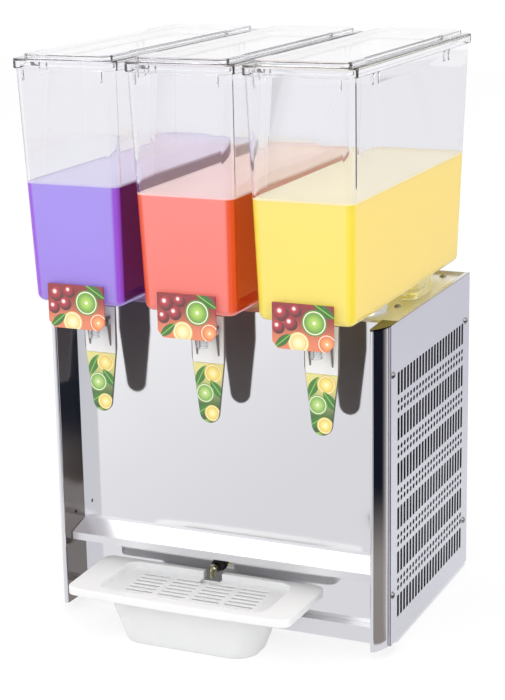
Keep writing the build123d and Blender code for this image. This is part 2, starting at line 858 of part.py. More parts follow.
def make_lever():
    """Push lever: a paddle behind the spout with two arms that hang on the pin."""
    lever = extrude(Plane.XZ.offset(-lever_front) * lever_outline(), -lever_sheet)
    inner, outer = lever_arm_x()
    for side in (-1, 1):
        x0, x1 = sorted((side * inner, side * outer))
        arm = rod_x(lever_arm_rise, x0, x1, pin_y, pin_z)
        arm += block(x0, x1, pin_y, lever_front, pin_z - lever_arm_rise, pin_z + lever_arm_rise)
        low = pin_z - lever_arm_rise
        corners = [(pin_y, low), (lever_front, low), (lever_front, pin_z - lever_gusset_drop)]
        gusset = make_face(Polyline(*corners, close=True))
        lever += arm + extrude(Plane.YZ.offset(x0) * gusset, x1 - x0)
    return lever - rod_x(pin_radius + pin_fit, -lever_width, lever_width, pin_y, pin_z)


def make_pin():
    """Hinge pin of a lever, with a head at one end."""
    outer = lever_arm_x()[1]
    pin = rod_x(pin_radius, -outer - pin_overhang, outer + pin_overhang, pin_y, pin_z)
    near = outer + stem_gap
    return pin + rod_x(pin_head_radius, near, near + pin_head, pin_y, pin_z)


def make_plunger():
    """Poppet and stem of a tap."""
    face = seat_front - seal_thickness
    stem = rod_y(stem_radius, face, lever_front - stem_gap, 0, barrel_z)
    stem = fillet(stem.edges().filter_by(GeomType.CIRCLE).sort_by(Axis.Y)[-1], stem_round)
    return stem + rod_y(poppet_radius, face - poppet_head, face, 0, barrel_z)


def make_seal():
    """Soft washer between the poppet and its seat."""
    face = seat_front - seal_thickness
    ring = rod_y(poppet_radius, face, seat_front, 0, barrel_z)
    return ring - rod_y(stem_radius + seal_fit, face - sheet, seat_front + sheet, 0, barrel_z)


def helix_point(turn, length):
    """Point and unit tangent of the spring's centre line after a number of turns."""
    angle = 2 * pi * turn
    climb = length / spring_turns
    point = Vector(spring_mean_radius * cos(angle), climb * turn, spring_mean_radius * sin(angle))
    around = 2 * pi * spring_mean_radius
    tangent = Vector(-around * sin(angle), climb, around * cos(angle)).normalized()
    return point, tangent


def biarc(start, start_dir, end, end_dir):
    """Two arcs that join two points and their tangents smoothly."""
    chord = end - start
    both = start_dir + end_dir
    bend = 2 * (1 - start_dir.dot(end_dir))
    lean = chord.dot(both)
    reach = (sqrt(lean**2 + bend * chord.dot(chord)) - lean) / bend
    near = start + start_dir * reach
    far = end - end_dir * reach
    join = (near + far) * 0.5
    join_dir = (far - near).normalized()
    first = TangentArc(start, join, tangent=start_dir)
    second = TangentArc(join, end, tangent=join_dir)
    return [first, second]


def spring_length():
    """Free room for the spring's centre line along the barrel."""
    room = seat_front - seal_thickness - poppet_head - barrel_front - barrel_front_wall
    return room - 2 * (spring_gap + spring_wire_radius)


def make_spring():
    """Return spring of a tap: one wire wound on quarter-turn arcs along the barrel."""
    length = spring_length()
    edges = []
    quarters = 4 * spring_turns
    for i in range(quarters):
        start, start_dir = helix_point(i / 4, length)
        end, end_dir = helix_point((i + 1) / 4, length)
        edges += biarc(start, start_dir, end, end_dir)
    start, start_dir = helix_point(0, length)
    wire = Wire([part.edge() for part in edges])
    section = Plane(origin=start, z_dir=start_dir) * Circle(spring_wire_radius)
    coil = sweep(section, path=wire)
    front = barrel_front + barrel_front_wall + spring_gap + spring_wire_radius
    print("spring: least gap between turns", round(length / spring_turns - 2 * spring_wire_radius, 2))
    return Pos(0, front, barrel_z) * coil


def make_drain_pipe():
    """Condensate pipe through the front panel, with a flange on the panel."""
    front = panel_front - drain_reach
    back = panel_front + sheet + drain_tail
    pipe = rod_y(drain_radius, front, back, drain_x, drain_z)
    pipe += rod_y(drain_flange_radius, panel_front - drain_flange, panel_front, drain_x, drain_z)
    return pipe - rod_y(drain_bore, front - sheet, back + sheet, drain_x, drain_z)


def make_drain_nozzle():
    """Clear elbow in the end of the drain pipe that points down into the tray."""
    plug = drain_bore - drain_fit
    y = panel_front - nozzle_reach
    nozzle = rod_y(plug, y, panel_front, drain_x, drain_z)
    nozzle += Pos(drain_x, y, drain_z) * Sphere(plug)
    nozzle += rod_z(nozzle_radius, nozzle_tip_z, drain_z, drain_x, y)
    nozzle -= rod_z(nozzle_bore, nozzle_tip_z - sheet, drain_z, drain_x, y)
    return nozzle - rod_y(nozzle_bore, y, panel_front + sheet, drain_x, drain_z)


def tray_outline(inset):
    """Plan of the tray's top: straight at the back, bowed at the front, round corners."""
    half = tray_width / 2 - inset
    front_half = half - tray_taper
    rear = tray_rear - inset
    front = tray_front + inset
    outline = Line((-front_half, front), (-half, rear))
    outline += Line((-half, rear), (half, rear))
    outline += Line((half, rear), (front_half, front))
    outline += ThreePointArc((front_half, front), (0, front - tray_bow), (-front_half, front))
    face = make_face(outline)
    return Pos(tray_x, 0) * fillet(face.vertices(), tray_corner - inset)


def make_tray_grille():
    """Top of the drip tray: a broad rim with a lip, a sunken slotted floor and the drain notch."""
    top = tray_rim_z
    under = top - tray_skin
    grille = prism(tray_outline(0.0), top - tray_lip, top)
    grille -= prism(tray_outline(tray_skin), top - tray_lip, under)
    floor = rounded(tray_floor_width, tray_floor_front, tray_floor_rear, tray_floor_corner, tray_x)
    sunk_width = tray_floor_width - 2 * tray_skin
    sunk_front = tray_floor_front + tray_skin
    sunk_rear = tray_floor_rear - tray_skin
    sunk = rounded(sunk_width, sunk_front, sunk_rear, tray_floor_corner - tray_skin, tray_x)
    grille += prism(floor, basin_top, under)
    grille -= prism(sunk, tray_floor_z, top)
    middle_y = (tray_slot_front + tray_slot_rear) / 2
    grid = GridLocations(tray_slot_pitch_x, tray_slot_pitch_y, tray_slot_columns, tray_slot_rows)
    slots = Sketch() + [place * Rectangle(tray_slot_length, tray_slot_width) for place in grid]
    grille -= prism(Pos(tray_x, middle_y) * slots, basin_top - sheet, top)
    notch = block(
        drain_x - notch_width / 2,
        drain_x + notch_width / 2,
        tray_rear - notch_depth,
        tray_rear + sheet,
        basin_top - tray_lip,
        top + sheet,
    )
    return grille - notch


def basin_plan(width, inset_y, corner):
    """Plan of the basin at one height."""
    rear = tray_floor_rear - basin_rear_inset - inset_y
    front = tray_floor_front + basin_front_inset + inset_y
    return rounded(width, front, rear, corner, tray_x)


def make_tray_basin():
    """Deep white basin under the grille; it stands on the floor."""
    wall = basin_wall
    low = basin_plan(basin_bottom_width, basin_taper_y, basin_bottom_corner)
    high = basin_plan(basin_top_width, 0.0, basin_corner)
    outer = taper(low, 0.0, high, basin_top)
    low = basin_plan(basin_bottom_width - 2 * wall, basin_taper_y + wall, basin_bottom_corner - wall)
    high = basin_plan(basin_top_width - 2 * wall, wall, basin_corner - wall)
    return outer - taper(low, wall, high, basin_top)


def make_compressor():
    """Hermetic compressor on three feet."""
    low = pan_top
    top = low + compressor_height
    shell = rod_z(compressor_radius, low + compressor_foot, top, compressor_x, compressor_y)
    shell = fillet(shell.edges().filter_by(GeomType.CIRCLE), compressor_dome)
    for i in range(3):
        angle = 2 * pi * i / 3
        x = compressor_x + (compressor_radius - compressor_foot) * cos(angle)
        y = compressor_y + (compressor_radius - compressor_foot) * sin(angle)
        shell += rod_z(compressor_foot / 2, low, low + compressor_foot + compressor_dome, x, y)
    return shell


def make_condenser():
    """Finned condenser standing beside the right-hand vents."""
    x0 = condenser_x
    x1 = condenser_x + condenser_depth
    y0 = condenser_y - condenser_length / 2
    y1 = condenser_y + condenser_length / 2
    top = pan_top + condenser_height
    step = (condenser_length - condenser_fin) / (condenser_fins - 1)
    coil = None
    for i in range(condenser_fins):
        y = y0 + step * i
        fin = block(x0, x1, y, y + condenser_fin, pan_top, top)
        coil = fin if coil is None else coil + fin
    gap = condenser_height / (condenser_tubes + 1)
    for i in range(condenser_tubes):
        z = pan_top + gap * (i + 1)
        coil += rod_y(condenser_tube_radius, y0, y1, (x0 + x1) / 2, z)
    return coil


def make_fan_motor():
    """Condenser fan motor on a bracket from the base pan, with a stub shaft."""
    x1 = fan_x - fan_motor_gap
    x0 = x1 - fan_motor_length
    y = condenser_y
    motor = rod_x(fan_motor_radius, x0, x1, y, fan_z)
    half = fan_motor_radius / 2
    motor += block(x0, x0 + fan_bracket, y - half, y + half, pan_top, fan_z)
    motor += block(x0, x1, y - half, y + half, pan_top, pan_top + fan_bracket)
    return motor + rod_x(fan_shaft_radius, x1, fan_x + fan_hub_length - fan_bracket, y, fan_z)


def make_fan():
    """Condenser fan with pitched blades."""
    y = condenser_y
    fan = rod_x(fan_hub_radius, fan_x, fan_x + fan_hub_length, y, fan_z)
    blade_length = fan_radius - fan_hub_radius / 2
    for i in range(fan_blades):
        spoke = Rot(360 * i / fan_blades, 0, 0) * Pos(0, 0, fan_radius - blade_length / 2)
        blade = Rot(0, 0, fan_blade_pitch) * Box(fan_blade_thickness, fan_blade_chord, blade_length)
        fan += Pos(fan_x + fan_hub_length / 2, y, fan_z) * spoke * blade
    bore_end = fan_x + fan_hub_length - fan_bracket + shaft_bore_gap
    return fan - rod_x(fan_shaft_radius + shaft_fit, fan_x - sheet, bore_end, y, fan_z)


def save(shape, node):
    """Write one node."""
    export_step(shape, f"parts/{node}.step")


def build_cabinet():
    """Shell, deck and front of the cabinet."""
    post = make_corner_post()
    save(Compound(children=[post, mirror(post, about=Plane.YZ)]), "corner_posts")
    left_side = mirror(make_side_panel(dotted=False), about=Plane.YZ)
    save(Compound(children=[make_side_panel(dotted=True), left_side]), "side_panels")
    save(make_base_pan(), "base_pan")
    save(make_feet(), "rubber_feet")
    save(make_front_panel(), "front_panel")
    save(make_ledge(), "ledge_trim")
    save(make_top_deck(), "top_deck")
    save(make_back_panel(), "back_panel")
    save(make_dome_screws(), "dome_screws")
    save(make_drain_pipe(), "drain_pipe")
    save(make_drain_nozzle(), "drain_nozzle")
    save(make_gland(), "cord_gland")


def build_controls():
    """Switches and thermostat knob on the back."""
    save(make_switch_bezels(), "switch_bezels")
    save(make_rocker(switch_stir_x), "rocker_stirring")
    save(make_rocker(switch_cooling_x), "rocker_cooling")
    save(make_knob(), "thermostat_knob")


def build_cooling():
    """Compressor, condenser, fan, evaporators and stirrer motors."""
    save(make_compressor(), "compressor")
    save(make_condenser(), "condenser")
    save(make_fan(), "fan_blade")
    centres = list(tank_centres.values())
    save(Compound(children=[make_evaporator(x) for x in centres]), "evaporators")
    save(Compound(children=[make_gasket(x) for x in centres]), "tank_gaskets")
    save(Compound(children=[make_fan_motor(), *(make_motor(x) for x in centres)]), "motors")
    for name, x in tank_centres.items():
        save(make_shaft(x), f"stirrer_shaft_{name}")
        save(make_stirrer(x), f"stirrer_{name}")


def build_tanks():
    """Tanks, lids and taps, made once and set at each place."""
    pieces = {
        "tank": make_tank(),
        "tank_feet": make_tank_feet(),
        "lid": make_lid(),
        "tap_housing": make_tap_housing(),
        "tap_fascia": make_fascia(),
        "tap_lever": make_lever(),
        "lever_pin": make_pin(),
        "tap_plunger": make_plunger(),
        "plunger_seal": make_seal(),
        "plunger_spring": make_spring(),
    }
    for name, x in tank_centres.items():
        for piece, shape in pieces.items():
            save(Pos(x, 0, 0) * shape, f"{piece}_{name}")


def build_tray():
    """Drip tray."""
    save(make_tray_grille(), "drip_tray_grille")
    save(make_tray_basin(), "drip_tray_basin")


os.makedirs("parts", exist_ok=True)
build_cabinet()
build_controls()
build_cooling()
build_tanks()
build_tray()
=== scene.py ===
"""Looks of a chilled juice dispenser: clear tanks of drink above a polished steel cabinet, in metres."""

import logging
import math
from dataclasses import dataclass, field
from enum import Enum
from typing import Iterable, Sequence, Union

import bmesh
import bpy
from mathutils import Matrix, Vector


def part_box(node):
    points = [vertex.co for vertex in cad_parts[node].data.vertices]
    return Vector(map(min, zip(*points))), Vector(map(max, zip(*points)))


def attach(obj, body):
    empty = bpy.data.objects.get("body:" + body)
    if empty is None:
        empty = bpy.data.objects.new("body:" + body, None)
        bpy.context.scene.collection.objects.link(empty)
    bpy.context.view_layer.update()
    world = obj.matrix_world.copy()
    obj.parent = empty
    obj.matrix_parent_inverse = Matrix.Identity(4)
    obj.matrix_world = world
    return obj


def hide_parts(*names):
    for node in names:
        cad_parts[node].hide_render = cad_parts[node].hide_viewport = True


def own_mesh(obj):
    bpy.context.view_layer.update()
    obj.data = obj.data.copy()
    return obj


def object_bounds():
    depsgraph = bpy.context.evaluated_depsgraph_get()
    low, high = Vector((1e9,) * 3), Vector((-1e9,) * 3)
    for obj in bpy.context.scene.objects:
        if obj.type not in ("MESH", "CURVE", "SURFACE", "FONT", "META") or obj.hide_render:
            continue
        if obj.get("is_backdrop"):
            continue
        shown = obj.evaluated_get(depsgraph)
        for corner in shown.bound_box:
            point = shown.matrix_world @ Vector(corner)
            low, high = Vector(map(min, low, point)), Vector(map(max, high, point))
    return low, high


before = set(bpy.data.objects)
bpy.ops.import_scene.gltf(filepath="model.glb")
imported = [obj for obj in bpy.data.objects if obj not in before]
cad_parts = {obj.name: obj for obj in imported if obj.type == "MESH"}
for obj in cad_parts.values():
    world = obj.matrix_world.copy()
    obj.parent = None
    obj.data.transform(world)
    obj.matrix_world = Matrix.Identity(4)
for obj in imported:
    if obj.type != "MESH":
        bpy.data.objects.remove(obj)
CAD_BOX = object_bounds()
LOG = logging.getLogger("juice_dispenser")

Point = tuple[float, float]
Outline = list[Point]
Ring = list[bmesh.types.BMVert]
Colour = tuple[float, float, float]
Feed = Union["Value", float, int, Sequence[float]]


def paint(code: int) -> Colour:
    """Turn a display colour, 0xRRGGBB, into the linear one that shaders use."""
    parts = [(code >> shift & 255) / 255 for shift in (16, 8, 0)]
    return tuple(c / 12.92 if c <= 0.04045 else ((c + 0.055) / 1.055) ** 2.4 for c in parts)


def dimmed(colour: Colour, share: float) -> Colour:
    """Return a colour at a share of its brightness."""
    return tuple(c * share for c in colour)


class Grain(Enum):
    """Direction in which a metal sheet was polished."""

    ALONG_X = (1.0, 60.0, 60.0)
    ALONG_Y = (60.0, 1.0, 60.0)
    ALONG_Z = (60.0, 60.0, 1.0)


class Value:
    """A socket of a node tree that takes part in ordinary Python expressions."""

    def __init__(self, tree: "Tree", socket: bpy.types.NodeSocket) -> None:
        """Wrap one output socket of a tree."""
        self.tree = tree
        self.socket = socket

    def out(self, name: str) -> "Value":
        """Return another output of the same node, by its name."""
        return Value(self.tree, self.socket.node.outputs[name])

    def _math(self, operation: str, *terms: Feed) -> "Value":
        """Add a Math node over the given terms."""
        return self.tree.node("ShaderNodeMath", {"operation": operation}, dict(enumerate(terms)))

    def __add__(self, other: Feed) -> "Value":
        """Sum."""
        return self._math("ADD", self, other)

    def __radd__(self, other: Feed) -> "Value":
        """Sum with a plain number first."""
        return self._math("ADD", other, self)

    def __sub__(self, other: Feed) -> "Value":
        """Difference."""
        return self._math("SUBTRACT", self, other)

    def __rsub__(self, other: Feed) -> "Value":
        """Difference from a plain number."""
        return self._math("SUBTRACT", other, self)

    def __mul__(self, other: Feed) -> "Value":
        """Product."""
        return self._math("MULTIPLY", self, other)

    def __rmul__(self, other: Feed) -> "Value":
        """Product with a plain number first."""
        return self._math("MULTIPLY", other, self)

    def __truediv__(self, other: Feed) -> "Value":
        """Quotient."""
        return self._math("DIVIDE", self, other)

    def __rtruediv__(self, other: Feed) -> "Value":
        """Quotient of a plain number."""
        return self._math("DIVIDE", other, self)

    def absolute(self) -> "Value":
        """Return the value without its sign."""
        return self._math("ABSOLUTE", self)

    def fraction(self) -> "Value":
        """Return what is left after the whole number."""
        return self._math("FRACT", self)

    def most(self, other: Feed) -> "Value":
        """Return the larger of two values."""
        return self._math("MAXIMUM", self, other)

    def angle(self, other: Feed) -> "Value":
        """Return the angle of the point (other, self) about the origin."""
        return self._math("ARCTAN2", self, other)

    def root(self) -> "Value":
        """Return the square root."""
        return self._math("SQRT", self)

    def rise(self, low: float, high: float) -> "Value":
        """Return a soft step from 0 at low to 1 at high; low may be the larger."""
        inputs = {0: self, 1: low, 2: high, 3: 0.0, 4: 1.0}
        return self.tree.node("ShaderNodeMapRange", {"interpolation_type": "SMOOTHSTEP"}, inputs)


class Tree:
    """Node tree of a material or of the world, filled by expressions."""

    def __init__(self, owner: Union[bpy.types.Material, bpy.types.World]) -> None:
        """Start with an empty tree on the owner.

        Args:
            owner: the material or the world.
        """
        owner.use_nodes = True
        self.nodes = owner.node_tree.nodes
        self.links = owner.node_tree.links
        self.nodes.clear()

    def node(self, kind: str, settings: dict | None = None, inputs: dict | None = None) -> Value:
        """Add a node.

        Args:
            kind: Blender's node type.
            settings: properties that are set first.
            inputs: values or links by socket name or number.

        Returns:
            The node's first enabled output, or its first input for a node with none.
        """
        made = self.nodes.new(kind)
        for name, setting in (settings or {}).items():
            setattr(made, name, setting)
        for name, feed in (inputs or {}).items():
            self._feed(made.inputs[name], feed)
        usable = [s for s in made.outputs if s.enabled]
        return Value(self, usable[0] if usable else made.inputs[0])

    def _feed(self, socket: bpy.types.NodeSocket, feed: Feed) -> None:
        """Link a socket to a value, or set it to a plain one.

        Args:
            socket: an input.
            feed: what it gets.
        """
        if isinstance(feed, Value):
            self.links.new(feed.socket, socket)
        elif isinstance(feed, (tuple, list)) and socket.type == "RGBA":
            socket.default_value = (*feed[:3], 1.0)
        else:
            socket.default_value = feed

    def place(self) -> Value:
        """Return the point on the piece, in the piece's own frame."""
        return self.node("ShaderNodeTexCoord").out("Object")

    def axes(self, place: Value) -> tuple[Value, Value, Value]:
        """Split a point into its three coordinates."""
        split = self.node("ShaderNodeSeparateXYZ", inputs={0: place})
        return split.out("X"), split.out("Y"), split.out("Z")

    def facing(self) -> tuple[Value, Value, Value]:
        """Return the three parts of the surface's own direction."""
        return self.axes(self.node("ShaderNodeTexCoord").out("Normal"))

    def stretch(self, place: Value, scale: Sequence[float]) -> Value:
        """Scale a point along each axis."""
        return self.node("ShaderNodeVectorMath", {"operation": "MULTIPLY"}, {0: place, 1: tuple(scale)})

    def noise(self, place: Value, scale: float, detail: float = 2.0) -> Value:
        """Return soft noise between 0 and 1."""
        return self.node("ShaderNodeTexNoise", None, {"Vector": place, "Scale": scale, "Detail": detail})

    def mix(self, share: Feed, first: Feed, second: Feed) -> Value:
        """Blend two colours by a share from 0 to 1."""
        made = self.node("ShaderNodeMix", {"data_type": "RGBA"}, {0: share, 6: first, 7: second})
        return Value(self, made.socket.node.outputs[2])

    def bump(self, height: Value, strength: float, distance: float) -> Value:
        """Turn a height into a normal."""
        inputs = {"Height": height, "Strength": strength, "Distance": distance}
        return self.node("ShaderNodeBump", None, inputs)

    def glow(self, colour: Feed, strength: float = 1.0) -> Value:
        """Return a shader that gives light."""
        return self.node("ShaderNodeEmission", None, {"Color": colour, "Strength": strength})

    def surface(self, sockets: dict) -> None:
        """Add a principled shader with the given sockets and show it."""
        self.show(self.node("ShaderNodeBsdfPrincipled", None, sockets))

    def show(self, shader: Value) -> None:
        """Lead a shader to the material's output."""
        self.node("ShaderNodeOutputMaterial", None, {"Surface": shader})


@dataclass(frozen=True)
class Finish:
    """What every finish has: a name, a colour and a gloss."""

    name: str
    colour: Colour
    roughness: float = 0.4

    def material(self) -> bpy.types.Material:
        """Return this finish's material, made at its first use.

        Returns:
            The material.
        """
        found = bpy.data.materials.get(self.name)
        if found is None:
            found = bpy.data.materials.new(self.name)
            self.paint_on(Tree(found))
        return found

    def paint_on(self, tree: Tree) -> None:
        """Fill the material's tree."""
        raise NotImplementedError


@dataclass(frozen=True)
class PolishedSteel(Finish):
    """Bright stainless sheet with polishing lines and a few smears; inside the cabinet it is rougher and darkened by
    painted shade.
    """

    grain: Grain = Grain.ALONG_X
    smear: float = 0.05
    half_width: float = 0.2194
    front: float = -0.0874
    back: float = 0.1834
    metal: float = 1.0
    ceiling: float = 0.3974
    floor: float = 0.030
    blur: float = 0.0002
    # Colour of the painted shade on the faces inside the cabinet.
    inside: Colour = (0.03, 0.03, 0.033)

    def inner(self, tree: Tree, place: Value) -> Value:
        """Return 1 on the faces inside the cabinet, and 0 outside.

        Args:
            tree: the material's tree.
            place: the point on the surface.

        Returns:
            1 inside and 0 outside.
        """
        across, along, up = tree.axes(place)
        middle, reach = (self.front + self.back) / 2, (self.back - self.front) / 2
        inner = across.absolute().rise(self.half_width + self.blur, self.half_width - self.blur)
        inner = inner * (along - middle).absolute().rise(reach + self.blur, reach - self.blur)
        inner = inner * up.rise(self.ceiling + self.blur, self.ceiling - self.blur)
        return inner * up.rise(self.floor - 10 * self.blur, self.floor + 10 * self.blur)

    def paint_on(self, tree: Tree) -> None:
        """Fine lines along the grain, broad smears that dull the shine, and painted shade on the inner face.

        Args:
            tree: the material's tree.
        """
        place = tree.place()
        inner = self.inner(tree, place)
        lines = tree.noise(tree.stretch(place, self.grain.value), 18.0, 4.0)
        smears = tree.noise(place, 7.0, 3.0).rise(0.45, 0.75)
        specks = tree.noise(place, 420.0, 1.0).rise(0.72, 0.8)
        tone = tree.mix(lines * 0.10 + smears * 0.05, self.colour, dimmed(self.colour, 0.82))
        tone = tree.mix(specks * 0.12, self.shaded(tree, place, tone), dimmed(self.colour, 0.6))
        # Faces inside the cabinet are rougher, less metallic and darkened by painted shade.
        tree.surface(
            {
                "Base Color": tree.mix(inner * 0.95, tone, self.inside),
                "Metallic": (1.0 - inner * 0.7) * self.metal,
                "Roughness": lines * 0.05 + smears * self.smear + inner * 0.45 + self.roughness,
                "Normal": tree.bump(lines, 0.02, 0.0002),
            }
        )

    def shaded(self, tree: Tree, place: Value, tone: Value) -> Value:
        """Return the sheet's colour where it differs from place to place."""
        return tone


@dataclass(frozen=True)
class PostSteel(PolishedSteel):
    """Sheet of a corner post, with a painted brown reflection low on the flank towards the front panel, and a dark
    top end.
    """

    painted_reflection: Colour = (0.20, 0.175, 0.16)
    end: Colour = (0.07, 0.062, 0.03)
    painted_reflection_top: float = 0.26
    painted_reflection_full: float = 0.16
    end_low: float = 0.3990
    end_high: float = 0.4012

    def shaded(self, tree: Tree, place: Value, tone: Value) -> Value:
        """Paint a dark reflection on the foot of the flank, as far as it is seen squarely, and darken the top end.

        Args:
            tree: the material's tree.
            place: the point on the surface.
            tone: the sheet's own colour.

        Returns:
            The changed colour.
        """
        across, _, up = tree.axes(place)
        sideways = tree.facing()[0]
        tilt = tree.node("ShaderNodeLayerWeight", None, {"Blend": 0.5}).out("Facing")
        flank = (across * sideways).rise(-0.15, -0.19) * up.rise(self.painted_reflection_top, self.painted_reflection_full)
        # Painted reflection: the brown tone shows on the flank's foot only where the flank is seen squarely.
        with_reflection = tree.mix(flank * tilt.rise(0.55, 0.515) * 0.95, tone, self.painted_reflection)
        return tree.mix(up.rise(self.end_low, self.end_high), with_reflection, self.end)


@dataclass(frozen=True)
class ClearPlastic(Finish):
    """Clear moulded plastic with a faint tint and flow ripples."""

    bend: float = 1.49

    def paint_on(self, tree: Tree) -> None:
        """Refracting plastic, very slightly uneven.

        Args:
            tree: the material's tree.
        """
        place = tree.place()
        ripple = tree.noise(place, 14.0, 1.0)
        haze = tree.noise(place, 60.0, 2.0).rise(0.5, 0.9)
        tree.surface(
            {
                "Base Color": tree.mix(haze * 0.3, self.colour, dimmed(self.colour, 0.98)),
                "Roughness": haze * 0.02 + self.roughness,
                "IOR": self.bend,
                "Transmission Weight": 1.0,
                "Normal": tree.bump(ripple, 0.03, 0.001),
            }
        )


@dataclass(frozen=True)
class Drink(Finish):
    """Cloudy fruit drink: opaque, with a painted glow, painted shade where the wall turns, and froth with painted
    sheen that makes its surface paler.
    """

    # Pale colour of the surface: froth, with a painted sheen.
    froth_and_sheen: Colour = (1.0, 1.0, 1.0)
    deep: Colour = (0.5, 0.5, 0.5)
    shade: Colour = (0.3, 0.3, 0.3)
    # Strength of the painted glow: the drink gives light of its own colour, standing in for the light that the clear
    # walls keep from it.
    glow: float = 0.3
    level: float = 0.55

    def paint_on(self, tree: Tree) -> None:
        """Colour that gets painted shade round the corners and deepens downwards, under a pale surface of froth and
        painted sheen, with a painted glow.

        Args:
            tree: the material's tree.
        """
        place = tree.place()
        height = tree.axes(place)[2]
        cloud = tree.noise(place, 9.0, 3.0)
        across, along, _ = tree.facing()
        turn = (across * along).absolute().rise(0.1, 0.45)
        depth = height.rise(self.level, self.level - 0.16)
        body = tree.mix(depth * 0.16 + cloud * 0.08, self.colour, self.deep)
        body = tree.mix(across.rise(0.75, 0.98), body, self.shade)
        # Painted shade: the colour deepens where the wall turns, standing in for the look that the rounded glass
        # corners give.
        body = tree.mix(turn * 0.9, body, self.deep)
        # The surface is paler: froth, with a painted sheen.
        top = height.rise(self.level - 0.0032, self.level - 0.0014)
        tree.surface(
            {
                "Base Color": tree.mix(top * 0.92, body, self.froth_and_sheen),
                "Roughness": cloud * 0.1 + self.roughness,
                "Specular IOR Level": 0.2,
                "Coat Weight": top * 0.7,
                "Coat IOR": 1.33,
                # Painted glow: the drink gives light, though it is no lamp.
                "Emission Color": tree.mix(top, body, self.froth_and_sheen),
                "Emission Strength": self.glow,
                "Normal": tree.bump(cloud, 0.05, 0.002),
            }
        )


@dataclass(frozen=True)
class Moulded(Finish):
    """Opaque moulded plastic with a fine mould texture."""

    texture: float = 0.04
    coat: float = 0.0
    depth: float = 0.0

    def paint_on(self, tree: Tree) -> None:
        """Fine grain, with slightly uneven gloss and colour; light wanders in where there is a depth.

        Args:
            tree: the material's tree.
        """
        place = tree.place()
        grain = tree.noise(place, 1600.0, 1.0)
        patches = tree.noise(place, 28.0, 3.0)
        tree.surface(
            {
                "Base Color": tree.mix(patches * 0.25, self.colour, dimmed(self.colour, 0.9)),
                "Roughness": patches * 0.12 + self.roughness,
                "Coat Weight": self.coat,
                "Subsurface Weight": 0.7 if self.depth else 0.0,
                "Subsurface Radius": (1.0, 0.95, 0.9),
                "Subsurface Scale": self.depth,
                "Normal": tree.bump(grain, self.texture, 0.0004),
            }
        )


@dataclass(frozen=True)
class Casting(Finish):
    """Painted or plated machine part."""

    metal: float = 0.0
    dust: Colour = (0.35, 0.34, 0.32)

    def paint_on(self, tree: Tree) -> None:
        """Orange-peel paint with faint dust.

        Args:
            tree: the material's tree.
        """
        place = tree.place()
        peel = tree.noise(place, 300.0, 2.0)
        dust = tree.noise(place, 24.0, 4.0).rise(0.5, 0.8)
        tree.surface(
            {
                "Base Color": tree.mix(dust * 0.25, self.colour, self.dust),
                "Metallic": self.metal,
                "Roughness": dust * 0.25 + self.roughness,
                "Normal": tree.bump(peel, 0.06, 0.0005),
            }
        )


@dataclass(frozen=True)
class FruitPrint(Finish):
    """Printed label with a made-up fruit pattern, in the label's own plane."""

    tall: bool = False
    bloom: Colour = (0.9, 0.9, 0.9)

    def paint_on(self, tree: Tree) -> None:
        """Lay the motifs over the ground colour, one after another.

        Args:
            tree: the material's tree.
        """
        place = tree.place()
        across, _, up = tree.axes(place)
        art = PrintArt(tree, across, up)
        colour = art.tall_pattern() if self.tall else art.wide_pattern()
        grain = tree.noise(place, 900.0, 2.0)
        tree.surface(
            {
                "Base Color": tree.mix(grain * 0.08, colour, self.bloom),
                "Roughness": grain * 0.08 + self.roughness,
                "Coat Weight": 0.5,
                "Normal": tree.bump(grain, 0.02, 0.0002),
            }
        )


